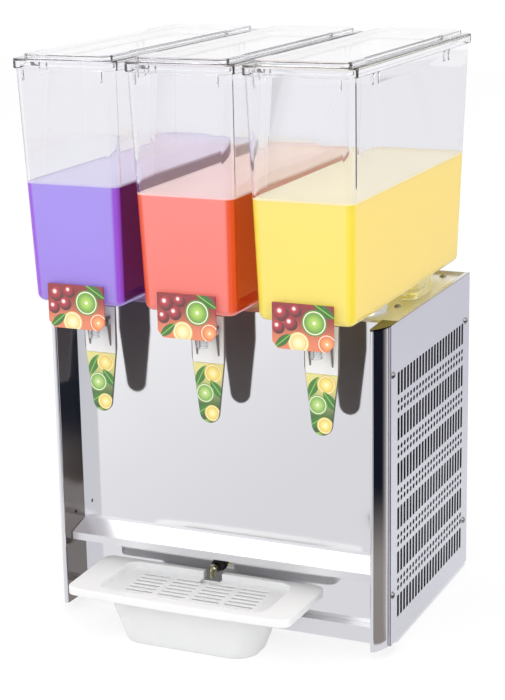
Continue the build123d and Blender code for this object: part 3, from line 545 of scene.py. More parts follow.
class PrintArt:
    """Motifs of the printed labels: citrus wheels, berries and leaves."""

    GLINT = (0.95, 0.93, 0.9)
    PITH = (0.94, 0.9, 0.72)

    def __init__(self, tree: Tree, across: Value, up: Value) -> None:
        """Keep the two coordinates of the label.

        Args:
            tree: the material's tree.
            across: the coordinate along the label.
            up: the upright one.
        """
        self.tree = tree
        self.across = across
        self.up = up

    def _from(self, centre: Point) -> tuple[Value, Value, Value]:
        """Return both offsets from a centre, and the distance.

        Args:
            centre: the point.

        Returns:
            The offset to the right, the offset upwards and the distance.
        """
        right = self.across - centre[0]
        above = self.up - centre[1]
        return right, above, (right * right + above * above).root()

    def berry(self, under: Feed, centre: Point, radius: float, dark: Colour, light: Colour) -> Value:
        """Lay a round fruit with a soft shine over what is under it.

        Args:
            under: the print so far.
            centre: the motif's middle.
            radius: its radius.
            dark: its shaded colour.
            light: its lit colour.

        Returns:
            The print with it.
        """
        _, _, far = self._from(centre)
        _, _, shine = self._from((centre[0] - radius * 0.3, centre[1] + radius * 0.35))
        body = self.tree.mix(shine.rise(radius * 1.4, radius * 0.1), dark, light)
        glint = shine.rise(radius * 0.42, radius * 0.12) * 0.95
        body = self.tree.mix(glint, body, self.GLINT)
        return self.tree.mix(far.rise(radius * 1.03, radius * 0.97), under, body)

    def wheel(self, under: Feed, centre: Point, radius: float, rind: Colour, flesh: Colour, parts: int) -> Value:
        """Lay a citrus slice with rind, pith and wedges over what is under it.

        Args:
            under: the print so far.
            centre: the motif's middle.
            radius: its radius.
            rind: colour of the rind.
            flesh: colour of the flesh.
            parts: number of wedges.

        Returns:
            The print with it.
        """
        right, above, far = self._from(centre)
        turn = (above.angle(right) * (parts / (2 * math.pi)) + parts).fraction()
        wall = (turn - 0.5).absolute() * far
        wedge = wall.rise(radius * 0.46, radius * 0.4) * far.rise(radius * 0.84, radius * 0.78)
        wedge = wedge * far.rise(radius * 0.1, radius * 0.16)
        inner = self.tree.mix(wedge, self.PITH, self.tree.mix(far.rise(0.0, radius), flesh, rind))
        whole = self.tree.mix(far.rise(radius * 0.88, radius * 0.92), inner, rind)
        return self.tree.mix(far.rise(radius * 1.03, radius * 0.97), under, whole)

    def leaf(self, under: Feed, centre: Point, length: float, turn: float, dark: Colour, light: Colour) -> Value:
        """Lay a pointed leaf with a midrib over what is under it.

        Args:
            under: the print so far.
            centre: the motif's middle.
            length: its length.
            turn: its direction in radians.
            dark: colour of the blade.
            light: colour of the midrib.

        Returns:
            The print with it.
        """
        right, above, _ = self._from(centre)
        along = right * math.cos(turn) + above * math.sin(turn)
        side = (above * math.cos(turn) - right * math.sin(turn)).absolute()
        share = along / (length / 2)
        edge = (1.0 - share * share).most(0.0) * (length * 0.2)
        inside = (edge - side).rise(-length * 0.01, length * 0.015)
        blade = self.tree.mix(side.rise(length * 0.012, length * 0.03), light, dark)
        return self.tree.mix(inside, under, blade)

    def lay(self, look: Value, motifs: Iterable[tuple]) -> Value:
        """Lay motifs over a ground, each given by its method and the method's details.

        Args:
            look: the ground.
            motifs: the motifs in their order.

        Returns:
            The whole print.
        """
        for motif, *details in motifs:
            look = motif(look, *details)
        return look

    def wide_pattern(self) -> Value:
        """Return the fascia's design.

        Returns:
            Its colour.
        """
        ground = self.tree.mix(self.up.rise(-0.022, 0.016), paint(0xE4805A), paint(0x8E141E))
        blade = (paint(0x2C6A18), paint(0x8CC63C))
        cherry = (paint(0x4A0612), paint(0xC8283A))
        motifs = [
            (self.leaf, (0.026, 0.020), 0.030, 2.6, *blade),
            (self.wheel, (-0.005, -0.018), 0.0125, paint(0xE6C86A), paint(0xFFF4C0), 9),
            (self.wheel, (0.029, -0.017), 0.0115, paint(0xE0652A), paint(0xFFB878), 10),
            (self.leaf, (-0.024, -0.017), 0.026, 0.7, *blade),
            (self.wheel, (0.014, 0.006), 0.0150, paint(0x4C8E1C), paint(0xB8DC62), 10),
            (self.berry, (-0.029, -0.002), 0.0076, *cherry),
            (self.berry, (-0.008, 0.018), 0.0072, *cherry),
            (self.berry, (-0.025, 0.014), 0.0088, *cherry),
            (self.berry, (-0.014, 0.003), 0.0080, *cherry),
        ]
        return self.lay(ground, motifs)

    def tall_pattern(self) -> Value:
        """Return the lever's design.

        Returns:
            Its colour.
        """
        ground = self.tree.mix(self.up.rise(-0.022, 0.034), paint(0x245C16), paint(0xE8E08C))
        blade = (paint(0x2F7A1E), paint(0x8CC24A))
        motifs = [
            (self.leaf, (-0.010, 0.020), 0.030, 1.1, *blade),
            (self.wheel, (0.006, 0.024), 0.0115, paint(0xE9C72A), paint(0xFFF3A0), 9),
            (self.leaf, (0.011, 0.004), 0.030, -0.9, *blade),
            (self.wheel, (-0.005, -0.001), 0.0120, paint(0x5FA52A), paint(0xC9E48A), 10),
            (self.leaf, (-0.008, -0.022), 0.026, 0.6, *blade),
            (self.wheel, (0.004, -0.025), 0.0100, paint(0xE6C62E), paint(0xFDF0A4), 8),
            (self.berry, (-0.004, -0.041), 0.0075, paint(0x2C6A18), paint(0xA6D65A)),
        ]
        return self.lay(ground, motifs)


class Finishes:
    """The finishes of this machine."""

    FRONT = PolishedSteel("polished front sheet", (0.86, 0.86, 0.88), 0.045, Grain.ALONG_X, 0.04)
    LEDGE = PolishedSteel("polished ledge sheet", (0.86, 0.86, 0.88), 0.30, Grain.ALONG_X, 0.03)
    POST = PostSteel("polished post sheet", (0.84, 0.84, 0.87), 0.05, Grain.ALONG_Z, 0.03)
    # Side and back sheets: rougher, less metallic steel, darker and bluer than the front's sheet with painted shade.
    SHADED_SIDE = PolishedSteel("polished side sheet", (0.665, 0.665, 0.72), 0.16, Grain.ALONG_Y, 0.06, metal=0.6)
    # Painted shade on the walls of the punched holes.
    CUT_IN_SHADE = PolishedSteel("shaded cut sheet edges", (0.15, 0.15, 0.17), 0.42, Grain.ALONG_Z, 0.05)
    DECK = PolishedSteel("brushed deck sheet", (0.90, 0.90, 0.89), 0.34, Grain.ALONG_X, 0.05)
    DRUM = PolishedSteel("drawn drum steel", (0.74, 0.75, 0.76), 0.22, Grain.ALONG_Z, 0.05)
    BRIGHT = PolishedSteel("bright screws and pins", (0.58, 0.58, 0.61), 0.10, Grain.ALONG_X, 0.02)
    SCREW = PolishedSteel("plated screws", (0.27, 0.26, 0.26), 0.16, Grain.ALONG_X, 0.02)
    TANK = ClearPlastic("clear tank plastic", (0.985, 0.985, 0.994), 0.0)
    LID = ClearPlastic("clear lid plastic", (0.98, 0.98, 0.99), 0.01)
    TAP = ClearPlastic("clear tap plastic", (0.90, 0.91, 0.93), 0.02)
    NOZZLE = ClearPlastic("yellowed nozzle plastic", (0.86, 0.80, 0.52), 0.05)
    WHITE = Moulded("white tray plastic", (0.89, 0.89, 0.89), 0.32, 0.03, 0.0, 0.006)
    LEVER_FRONT = Moulded("white lever plastic", (0.88, 0.88, 0.87), 0.22, 0.02, 0.3)
    LEVER = Moulded("dark lever plastic", (0.17, 0.15, 0.142), 0.35, 0.04)
    BLACK = Moulded("black plastic", (0.018, 0.018, 0.02), 0.4, 0.08)
    RUBBER = Moulded("black rubber", (0.014, 0.014, 0.014), 0.62, 0.12)
    SEAL = Moulded("pale seal rubber", (0.72, 0.71, 0.68), 0.55, 0.08)
    PAINT = Casting("black compressor paint", (0.012, 0.012, 0.012), 0.3)
    MOTOR = Casting("plated motor casing", (0.34, 0.35, 0.37), 0.36, 0.7)
    FINS = Casting("aluminium fins", (0.62, 0.63, 0.64), 0.4, 0.9)
    FASCIA = FruitPrint("fascia print", (1, 1, 1), 0.25)
    LABEL = FruitPrint("lever print", (1, 1, 1), 0.28, True)


def quarter(steps: int) -> list[float]:
    """Return evenly spaced angles from 0 to a right angle."""
    return [math.pi / 2 * i / steps for i in range(steps + 1)]


def arc(centre: Point, radius: float, start: float, end: float, steps: int) -> Outline:
    """Return points along an arc from a start angle to an end angle, in radians, both ends included."""
    turns = [start + (end - start) * i / steps for i in range(steps + 1)]
    return [(centre[0] + radius * math.cos(a), centre[1] + radius * math.sin(a)) for a in turns]


def circle(centre: Point, radius: float, steps: int = 32) -> Outline:
    """Return a closed circle of points, counter-clockwise."""
    return arc(centre, radius, 0.0, 2 * math.pi * (1 - 1 / steps), steps - 1)


def soften(corners: Sequence[tuple[float, float, float]], steps: int = 6) -> Outline:
    """Round the corners of a polygon.

    Args:
        corners: each corner's two coordinates and its radius.
        steps: chords in each rounding.

    Returns:
        The rounded outline, with the same number of points for the same corners.
    """
    made: Outline = []
    count = len(corners)
    for i, (x, y, radius) in enumerate(corners):
        here = Vector((x, y))
        before = (Vector(corners[i - 1][:2]) - here).normalized()
        after = (Vector(corners[(i + 1) % count][:2]) - here).normalized()
        half = before.angle(after) / 2
        middle = here + (before + after).normalized() * (radius / math.sin(half))
        first = here + before * (radius / math.tan(half)) - middle
        last = here + after * (radius / math.tan(half)) - middle
        start = math.atan2(first.y, first.x)
        sweep = (math.atan2(last.y, last.x) - start + math.pi) % (2 * math.pi) - math.pi
        made += arc((middle.x, middle.y), max(radius, 1e-6), start, start + sweep, steps)
    return made


def rounded_box(low: Sequence[float], high: Sequence[float], radius: float, steps: int) -> Outline:
    """Return an upright rectangle between two corners, with rounded corners."""
    corners = [(low[0], low[1]), (high[0], low[1]), (high[0], high[1]), (low[0], high[1])]
    return soften([(*corner, radius) for corner in corners], steps)


def inset(outline: Outline, amount: float) -> Outline:
    """Move a counter-clockwise outline inwards.

    Args:
        outline: the points.
        amount: how far inwards each side moves.

    Returns:
        The moved outline, point for point.
    """
    made: Outline = []
    count = len(outline)
    for i in range(count):
        before, here, after = (Vector(outline[j % count]) for j in (i - 1, i, i + 1))
        into = (here - before).normalized()
        away = (after - here).normalized()
        normal = Vector((-into.y, into.x)) + Vector((-away.y, away.x))
        normal.normalize()
        lean = max(0.3, normal.dot(Vector((-into.y, into.x))))
        moved = here + normal * (amount / lean)
        made.append((moved.x, moved.y))
    return made


def add_object(name: str, data: bpy.types.ID) -> bpy.types.Object:
    """Make an object of its data and put it into the scene.

    Args:
        name: its name.
        data: its mesh, curve, lamp or lens.

    Returns:
        The new object, at the origin.
    """
    made = bpy.data.objects.new(name, data)
    bpy.context.scene.collection.objects.link(made)
    return made


def final_mesh(piece: bpy.types.Object) -> bpy.types.Mesh:
    """Return a new mesh of a piece with its modifiers applied."""
    return bpy.data.meshes.new_from_object(piece.evaluated_get(bpy.context.evaluated_depsgraph_get()))


class MeshMaker:
    """Collects faces and turns them into an object of the scene."""

    def __init__(self) -> None:
        """Start an empty mesh."""
        self.bm = bmesh.new()

    def ring(self, outline: Sequence[Point], z: float) -> Ring:
        """Add an outline at one height and return its points."""
        return [self.bm.verts.new((x, y, z)) for x, y in outline]

    def wall(self, rings: Sequence[Ring]) -> None:
        """Join rings with the same number of points by faces.

        Args:
            rings: the rings in their order.
        """
        for low, high in zip(rings, rings[1:]):
            count = len(low)
            for i in range(count):
                j = (i + 1) % count
                self.bm.faces.new((low[i], low[j], high[j], high[i]))

    def cap(self, ring: Ring) -> None:
        """Close a ring by one flat face."""
        self.bm.faces.new(ring)

    def shell(self, rings: Sequence[Ring]) -> None:
        """Join rings by faces and close both ends.

        Args:
            rings: the rings in their order.
        """
        self.wall(rings)
        self.cap(rings[0])
        self.cap(rings[-1])

    def holed_cap(self, rings: Sequence[Ring]) -> None:
        """Fill the flat space between an outer ring and the rings of its holes.

        Args:
            rings: the outer ring, then one ring for each hole.
        """
        edges = []
        for ring in rings:
            for i, vert in enumerate(ring):
                other = ring[(i + 1) % len(ring)]
                edges.append(self.bm.edges.get((vert, other)) or self.bm.edges.new((vert, other)))
        bmesh.ops.triangle_fill(self.bm, use_beauty=True, use_dissolve=False, edges=edges)

    def slab(self, outline: Outline, z0: float, z1: float, edge: float, steps: int = 2) -> None:
        """Add a closed plate with rounded edges between two heights.

        Args:
            outline: its outline.
            z0: its lower face.
            z1: its upper face.
            edge: radius of its edges.
            steps: chords in each edge.
        """
        turns = quarter(steps)
        layers = [(1 - math.sin(a), z0 + edge * (1 - math.cos(a))) for a in turns]
        layers += [(1 - math.cos(a), z1 - edge * (1 - math.sin(a))) for a in turns]
        self.shell([self.ring(inset(outline, edge * share), z) for share, z in layers])

    def block(self, low: Sequence[float], high: Sequence[float], edge: float = 0.0004) -> None:
        """Add a box with rounded edges between two corners."""
        self.slab(rounded_box(low, high, 2 * edge, steps=2), low[2], high[2], edge, steps=1)

    def bar(self, section: Outline, x0: float, x1: float) -> None:
        """Add a closed bar along X with the given (y, z) section."""
        self.shell([[self.bm.verts.new((x, y, z)) for y, z in section] for x in (x0, x1)])

    def turn(self, matrix: Matrix) -> None:
        """Move everything made so far."""
        bmesh.ops.transform(self.bm, matrix=matrix, verts=self.bm.verts)

    def mesh(self, name: str, material: bpy.types.Material) -> bpy.types.Mesh:
        """Turn what was collected into a mesh of one material.

        Args:
            name: the mesh's name.
            material: its material.

        Returns:
            The mesh.
        """
        mesh = bpy.data.meshes.new(name)
        self.bm.to_mesh(mesh)
        self.bm.free()
        mesh.materials.append(material)
        return mesh

    def done(self, name: str, finish: Finish, sharp: float = 40.0) -> bpy.types.Object:
        """Make the object.

        Args:
            name: the piece's name.
            finish: its finish.
            sharp: angle in degrees above which an edge stays sharp.

        Returns:
            The new object, at the origin.
        """
        bmesh.ops.recalc_face_normals(self.bm, faces=self.bm.faces)
        made = add_object(name, self.mesh(name, finish.material()))
        smooth(made, sharp)
        return made


def smooth(piece: bpy.types.Object, sharp: float) -> None:
    """Shade a mesh smooth, with edges above an angle in degrees kept sharp.

    Args:
        piece: the mesh object.
        sharp: the angle.
    """
    for polygon in piece.data.polygons:
        polygon.use_smooth = True
    piece.data.set_sharp_from_angle(angle=math.radians(sharp))
    flats = piece.modifiers.new("flats stay flat", "WEIGHTED_NORMAL")
    flats.weight = 100
    flats.keep_sharp = True


def grow(piece: bpy.types.Object, extras: bpy.types.Object, sharp: float) -> None:
    """Melt extra shapes into a piece, so that clear plastic has no faces inside.

    Args:
        piece: the piece that grows.
        extras: closed shapes that reach into it; they are used up.
        sharp: angle in degrees above which an edge stays sharp.
    """
    piece.modifiers.clear()
    union = piece.modifiers.new("extras", "BOOLEAN")
    union.operation = "UNION"
    union.solver = "EXACT"
    union.object = extras
    grown = final_mesh(piece)
    piece.modifiers.remove(union)
    piece.data = grown
    bpy.data.objects.remove(extras)
    smooth(piece, sharp)


def own(piece: bpy.types.Object, body: str, slot: str, *nodes: str) -> None:
    """Hang a finished piece on its body.

    Args:
        piece: the piece.
        body: the body that it moves with.
        slot: the record's material slot; not used.
        nodes: CAD nodes that it stands for.
    """
    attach(piece, body)
    if nodes:
        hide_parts(*nodes)
    LOG.info("%s rides on %s", piece.name, body)


def repaint(piece: bpy.types.Object, finish: Finish) -> None:
    """Give a piece one finish in place of what it had."""
    piece.data.materials.clear()
    piece.data.materials.append(finish.material())


def dress(node: str, finish: Finish, edge: float = 0.0, sharp: float = 35.0) -> None:
    """Give a CAD node its finish, smooth shading and softened edges.

    Args:
        node: the node's name.
        finish: its finish.
        edge: width of the softened edges, or 0 for none.
        sharp: angle in degrees above which an edge stays sharp.
    """
    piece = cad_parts[node]
    repaint(piece, finish)
    if edge:
        merge = piece.modifiers.new("merge", "WELD")
        merge.merge_threshold = 0.00001
        flat = piece.modifiers.new("flat", "DECIMATE")
        flat.decimate_type = "DISSOLVE"
        flat.angle_limit = math.radians(1.0)
        bevel = piece.modifiers.new("edge", "BEVEL")
        bevel.width = edge
        bevel.segments = 2
        bevel.limit_method = "ANGLE"
        bevel.angle_limit = math.radians(sharp)
    smooth(piece, sharp)
    LOG.info("%s is dressed in %s", node, finish.name)


def dress_all(looks: dict[str, Finish]) -> None:
    """Give each CAD node of a table its finish, with its edges left as they are."""
    for node, finish in looks.items():
        dress(node, finish)


@dataclass
class TankShape:
    """Sizes of a tank, of its lid and of its valve's travel."""

    bottom: float = 0.4135
    rim: float = 0.698
    bottom_width: float = 0.1167
    bottom_front: float = -0.183
    bottom_back: float = 0.197
    top_width: float = 0.1287
    top_front: float = -0.199
    top_back: float = 0.2173
    corner: float = 0.012
    corner_steps: int = 8
    fillet: float = 0.009
    wall: float = 0.003
    rim_height: float = 0.009
    rim_reach: float = 0.0027
    rim_round: float = 0.0008
    rim_low_cut: float = 0.0006
    rim_top_cut: float = 0.0007
    neck_height: float = 0.001
    neck_reach: float = 0.0004
    ribs: tuple[float, ...] = (-0.137, -0.120, 0.110, 0.127)
    rib_height: float = 0.014
    rib_half: float = 0.001
    rib_root: float = 0.0005
    rib_inset: float = 0.002
    collar: float = 0.0375
    collar_wall: float = 0.0025
    collar_height: float = 0.008
    foot_front: float = 0.031
    foot_length: float = 0.058
    foot_width: float = 0.018
    foot_inset: float = 0.0014
    foot_corner: float = 0.015
    foot_lift: float = 0.0018
    foot_climb: float = 0.0042
    port_y: float = -0.172
    port: float = 0.006
    port_steps: int = 24
    bore_steps: int = 64
    well_top: float = 0.518
    well_gap: float = 0.001
    overlap: float = 0.0006
    meniscus: tuple[Point, ...] = ((0.0, 0.01), (0.0, 0.0), (0.0008, 0.0006), (0.003, 0.0016))
    surface: Point = (0.008, 0.002)
    valve_travel: float = 0.004
    lid_corner: float = 0.014
    lid_plate: float = 0.002
    lid_rise: float = 0.005
    lid_wall: float = 0.002
    lid_low_round: float = 0.0005
    lid_top_round: float = 0.0006
    field_edge: float = 0.010
    field_corner: float = 0.012
    grip_near: float = -0.137
    grip_far: float = 0.127
    grip_cut: float = 0.0035
    grip_corner: float = 0.0017
    crown: float = 0.0015
    crown_turns: tuple[float, ...] = (0.0, 0.4, 0.8, 1.2, math.pi / 2)
    pocket_edge: float = 0.0155
    pocket_corner: float = 0.007
    pocket_round: float = 0.001
    skirt_height: float = 0.006
    skirt_gap: float = 0.0008
    skirt_round: float = 0.0004

    def plan(self, x: float, z: float, inwards: float) -> Outline:
        """Return the wall's outline at a height, moved inwards.

        Args:
            x: middle of the tank.
            z: the height.
            inwards: how far inwards.

        Returns:
            The outline.
        """
        share = (z - self.bottom) / (self.rim - self.bottom)
        half = (self.bottom_width + (self.top_width - self.bottom_width) * share) / 2
        front = self.bottom_front + (self.top_front - self.bottom_front) * share
        back = self.bottom_back + (self.top_back - self.bottom_back) * share
        return inset(rounded_box((x - half, front), (x + half, back), self.corner, self.corner_steps), inwards)

    def within_lid(self, margin: float) -> tuple[float, float, float]:
        """Return the half width, front and back that lie a margin inside the lid's edge."""
        reach = self.rim_reach - margin
        return self.top_width / 2 + reach, self.top_front - reach, self.top_back + reach

    def rim_plan(self, x: float, inwards: float) -> Outline:
        """Return the rim's outline, shared with the lid's plate."""
        half, front, back = self.within_lid(0.0)
        return inset(rounded_box((x - half, front), (x + half, back), self.lid_corner, self.corner_steps), inwards)

    def pocket_plan(self, x: float, inwards: float) -> Outline:
        """Return the hollow under the lid's raised field."""
        half, front, back = self.within_lid(self.pocket_edge)
        return inset(rounded_box((x - half, front), (x + half, back), self.pocket_corner, steps=6), inwards)

    def field_plan(self, x: float, inwards: float) -> Outline:
        """Return the raised field of the lid, with a finger grip cut into both long sides.

        Args:
            x: middle of the tank.
            inwards: how far inwards.

        Returns:
            The outline.
        """
        half, front, back = self.within_lid(self.field_edge)
        grip = half - self.grip_cut
        steps = [(half, self.grip_near), (grip, self.grip_near), (grip, self.grip_far), (half, self.grip_far)]
        right = [(half, front, self.field_corner)]
        right += [(*step, self.grip_corner) for step in steps]
        right += [(half, back, self.field_corner)]
        left = [(-across, y, radius) for across, y, radius in reversed(right)]
        corners = [left[-1], *right, *left[:-1]]
        return inset(soften([(x + across, y, radius) for across, y, radius in corners], steps=5), inwards)


@dataclass
class LeverFace:
    """White front plate and printed label of a push lever; heights count from the lever's pin."""

    side: str
    x: float
    pin_y: float = -0.139
    pin_z: float = 0.384
    front: float = 0.006
    border: float = 0.0006
    half_width: float = 0.0215
    shoulder: float = -0.032
    tip: float = -0.114
    tip_radius: float = 0.013
    top: float = 0.0174
    label_top: float = -0.0405
    label_middle: float = -0.0765
    gap: float = 0.0002
    bite: float = 0.00005
    thickness: float = 0.0006
    label_thickness: float = 0.0007
    edge: float = 0.0002

    def build(self) -> None:
        """Make the white upper face and the label on the lower part."""
        upper = self.outline(self.top, self.label_top + self.gap)
        lower = self.outline(self.label_top, self.tip)
        self.add_layer("lever_face", Finishes.LEVER_FRONT, upper, self.thickness, 0.0)
        self.add_layer("lever_label", Finishes.LABEL, lower, self.label_thickness, self.label_middle)

    def outline(self, top: float, low: float) -> Outline:
        """Return the paddle's outline between two heights, or down to its tip.

        Args:
            top: upper end.
            low: lower end; the tip's own height gives the round tip.

        Returns:
            The outline as (x, z) about the lever's pin, counter-clockwise.
        """
        half, radius = self.half_width - self.border, self.tip_radius - self.border
        centre = self.tip + self.tip_radius
        rise = self.shoulder - centre
        away = math.atan2(rise, half) - math.acos(radius / math.hypot(half, rise))
        side = (radius * math.cos(away), centre + radius * math.sin(away))

        def width(z: float) -> float:
            """Half width of the paddle at a height.

            Args:
                z: the height.

            Returns:
                The half width.
            """
            if z >= self.shoulder:
                return half
            return half + (side[0] - half) * (self.shoulder - z) / (self.shoulder - side[1])

        upper = [(width(top), top), (-width(top), top)]
        if low > side[1]:
            return [(-width(low), low), (width(low), low), *upper]
        return arc((0.0, centre), radius, math.pi - away, 2 * math.pi + away, steps=14) + upper

    def add_layer(self, name: str, finish: Finish, outline: Outline, thickness: float, middle: float) -> None:
        """Make one thin layer on the lever's front.

        Args:
            name: the layer's name, without the side.
            finish: its finish.
            outline: its outline about the pin.
            thickness: its thickness.
            middle: height of the layer's own origin.
        """
        maker = MeshMaker()
        maker.slab(outline, 0.0, thickness, self.edge, steps=1)
        maker.turn(Matrix.Rotation(math.pi / 2, 4, "X"))
        maker.turn(Matrix.Translation((0, 0, -middle)))
        layer = maker.done(f"{name}_{self.side}", finish)
        layer.location = (self.x, self.pin_y + self.front - self.bite, self.pin_z + middle)
        own(layer, f"lever_{self.side}", "lever_plastic")


@dataclass
class TankUnit:
    """One tank with its drink, its lid and its tap."""

    side: str
    x: float
    drum_y: float
    drink: Drink
    shape: TankShape = field(default_factory=TankShape)
    sharp: float = 50.0
    lever_edge: float = 0.0005
    fascia_cut: Point = (0.007, 0.008)
    fascia_corner: float = 0.0012
    fascia_low_corner: float = 0.002
    fascia_edge: float = 0.0005

    def build(self) -> None:
        """Make and dress everything of this tank."""
        self.make_tank()
        self.make_lid()
        self.make_drink()
        self.dress_tap()

    def wall_rings(self, maker: MeshMaker, levels: Iterable[Point]) -> list[Ring]:
        """Return rings of the wall's outline, each given by its distance inwards and its height."""
        return [maker.ring(self.shape.plan(self.x, z, inwards), z) for inwards, z in levels]

    def fillet_rings(self, maker: MeshMaker, low: float, inwards: float, radius: float) -> list[Ring]:
        """Return rings that round a floor into the walls, from the floor up.

        Args:
            maker: the mesh.
            low: height of the floor.
            inwards: distance inside the tank's outline.
            radius: radius of the rounding.

        Returns:
            The rings.
        """
        turns = quarter(steps=5)
        levels = [(inwards + radius * (1 - math.sin(a)), low + radius * (1 - math.cos(a))) for a in turns]
        return self.wall_rings(maker, levels)

    def make_tank(self) -> None:
        """Make the clear tank: walls, rim, collar, port, feet and ribs."""
        s = self.shape
        maker = MeshMaker()
        under = s.rim - s.rim_height
        floor = s.bottom + s.wall
        outer = self.fillet_rings(maker, s.bottom, 0.0, s.fillet)
        outer += self.wall_rings(maker, ((0.0, under - s.neck_height), (-s.neck_reach, under)))
        rim = [(s.rim_low_cut, under), (0.0, under + s.rim_round)]
        rim += [(0.0, s.rim - s.rim_round), (s.rim_top_cut, s.rim)]
        outer += [maker.ring(s.rim_plan(self.x, inwards), z) for inwards, z in rim]
        inner = self.fillet_rings(maker, floor, s.wall, s.fillet - s.wall)
        inner += self.wall_rings(maker, ((s.wall, s.rim - s.rim_round), (s.wall - s.rim_round, s.rim)))
        maker.wall(outer)
        maker.wall(inner)
        maker.wall([outer[-1], inner[-1]])
        centre = (self.x, self.drum_y)
        port = (self.x, s.port_y)
        low = s.bottom - s.collar_height
        collar = [maker.ring(circle(centre, s.collar + s.collar_wall, s.bore_steps), z) for z in (s.bottom, low)]
        hole = [maker.ring(circle(centre, s.collar, s.bore_steps), z) for z in (low, floor)]
        maker.wall(collar + hole)
        pipe = [maker.ring(circle(port, s.port, s.port_steps), z) for z in (s.bottom, floor)]
        maker.wall(pipe)
        maker.holed_cap([outer[0], collar[0], pipe[0]])
        maker.holed_cap([inner[0], hole[1], pipe[1]])
        tank = maker.done(f"clear_tank_{self.side}", Finishes.TANK, self.sharp)
        extras = MeshMaker()
        self.add_feet(extras)
        self.add_ribs(extras)
        grow(tank, extras.done("feet and ribs", Finishes.TANK), self.sharp)
        own(tank, f"tank_{self.side}", "clear_tank", f"tank_{self.side}", f"tank_feet_{self.side}")

    def add_feet(self, maker: MeshMaker) -> None:
        """Add the long foot under each side; its top follows the rounded edge of the floor.

        Args:
            maker: the mesh.
        """
        s = self.shape
        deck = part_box("top_deck")[1].z
        half = s.bottom_width / 2
        outer = half - s.foot_inset
        inner = outer - s.foot_width
        bend = half - s.fillet
        back = s.foot_front + s.foot_length
        middle = (outer - s.foot_corner, s.foot_front + s.foot_corner)
        front_corner = arc(middle, s.foot_corner, -math.pi / 2, 0.0, s.corner_steps)
        outline = [(inner, s.foot_front), *front_corner, (outer, back), (bend, back), (inner, back)]
        for sign in (-1, 1):
            points = [(self.x + sign * x, y) for x, y in outline]
            rings = [maker.ring(points, z) for z in (deck, s.bottom)]
            for vert, (x, _) in zip(rings[1], outline):
                vert.co.z += s.foot_lift + s.foot_climb * max(0.0, (x - bend) / (outer - bend))
            maker.shell(rings)

    def add_ribs(self, maker: MeshMaker) -> None:
        """Add the short ribs under the rim.

        Args:
            maker: the mesh.
        """
        s = self.shape
        top = s.rim - s.rim_height + s.rib_root
        low = top - s.rib_height
        half = s.top_width / 2
        for y in s.ribs:
            for sign in (-1, 1):
                ends = sorted(self.x + sign * (half + out) for out in (s.rim_reach / 2, -s.wall / 2))
                maker.block((ends[0], y - s.rib_half, low), (ends[1], y + s.rib_half, top))
        front = s.top_front - s.rim_reach / 2
        for sign in (-1, 1):
            x = self.x + sign * (half - s.corner - s.rib_inset)
            maker.block((x - s.rib_half, front, low), (x + s.rib_half, front + s.wall, top))

    def make_lid(self) -> None:
        """Make the clear lid: plate, raised field with grips, hollow underside and skirt."""
        s = self.shape
        plate = s.rim + s.lid_plate
        top = plate + s.lid_rise
        maker = MeshMaker()
        edge = [(s.lid_low_round, s.rim), (0.0, s.rim + s.lid_low_round)]
        edge += [(0.0, plate - s.lid_top_round), (s.lid_top_round, plate)]
        plate_rings = [maker.ring(s.rim_plan(self.x, inwards), z) for inwards, z in edge]
        maker.wall(plate_rings)
        rise = [(-s.lid_top_round, plate), (0.0, plate + s.lid_top_round)]
        rise += [(s.crown * (1 - math.cos(a)), top - s.crown * (1 - math.sin(a))) for a in s.crown_turns]
        field_rings = [maker.ring(s.field_plan(self.x, inwards), z) for inwards, z in rise]
        maker.wall(field_rings)
        maker.holed_cap([plate_rings[-1], field_rings[0]])
        maker.cap(field_rings[-1])
        skirt = s.wall + s.skirt_gap
        low = s.rim - s.skirt_height
        edge_top = low + s.skirt_round
        outside = [(0.0, s.rim), (0.0, edge_top), (s.skirt_round, low)]
        inside = [(s.lid_wall - s.skirt_round, low), (s.lid_wall, edge_top), (s.lid_wall, s.rim)]
        rings = [maker.ring(s.plan(self.x, s.rim, skirt + inwards), z) for inwards, z in outside + inside]
        maker.wall(rings)
        maker.holed_cap([plate_rings[0], rings[0]])
        ceiling = top - s.lid_wall
        hollow = ((0.0, s.rim), (0.0, ceiling - s.pocket_round), (s.pocket_round, ceiling))
        pocket = [maker.ring(s.pocket_plan(self.x, inwards), z) for inwards, z in hollow]
        maker.wall(pocket)
        maker.holed_cap([rings[-1], pocket[0]])
        maker.cap(pocket[-1])
        lid = maker.done(f"clear_lid_{self.side}", Finishes.LID, self.sharp)
        own(lid, f"lid_{self.side}", "clear_lid", f"lid_{self.side}")

    def make_drink(self) -> None:
        """Make the drink: it wets the walls, climbs them a little and leaves room for the drum."""
        s = self.shape
        level = self.drink.level
        wet = s.wall - s.overlap
        maker = MeshMaker()
        rings = self.fillet_rings(maker, s.bottom + wet, wet, s.fillet - wet)
        rings += self.wall_rings(maker, [(wet + inwards, level - depth) for inwards, depth in s.meniscus])
        rings.append(maker.ring(s.plan(self.x, level, wet + s.surface[0]), level - s.surface[1]))
        maker.wall(rings)
        maker.cap(rings[-1])
        hollow = circle((self.x, self.drum_y), s.collar + s.well_gap, s.bore_steps)
        well = [maker.ring(hollow, z) for z in (s.bottom + wet, s.well_top)]
        maker.wall(well)
        maker.cap(well[-1])
        maker.holed_cap([rings[0], well[0]])
        drink = maker.done(f"drink_{self.side}", self.drink, sharp=60.0)
        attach(drink, f"tank_{self.side}")
        LOG.info("%s fills the %s tank to %.0f mm", drink.name, self.side, level * 1000)

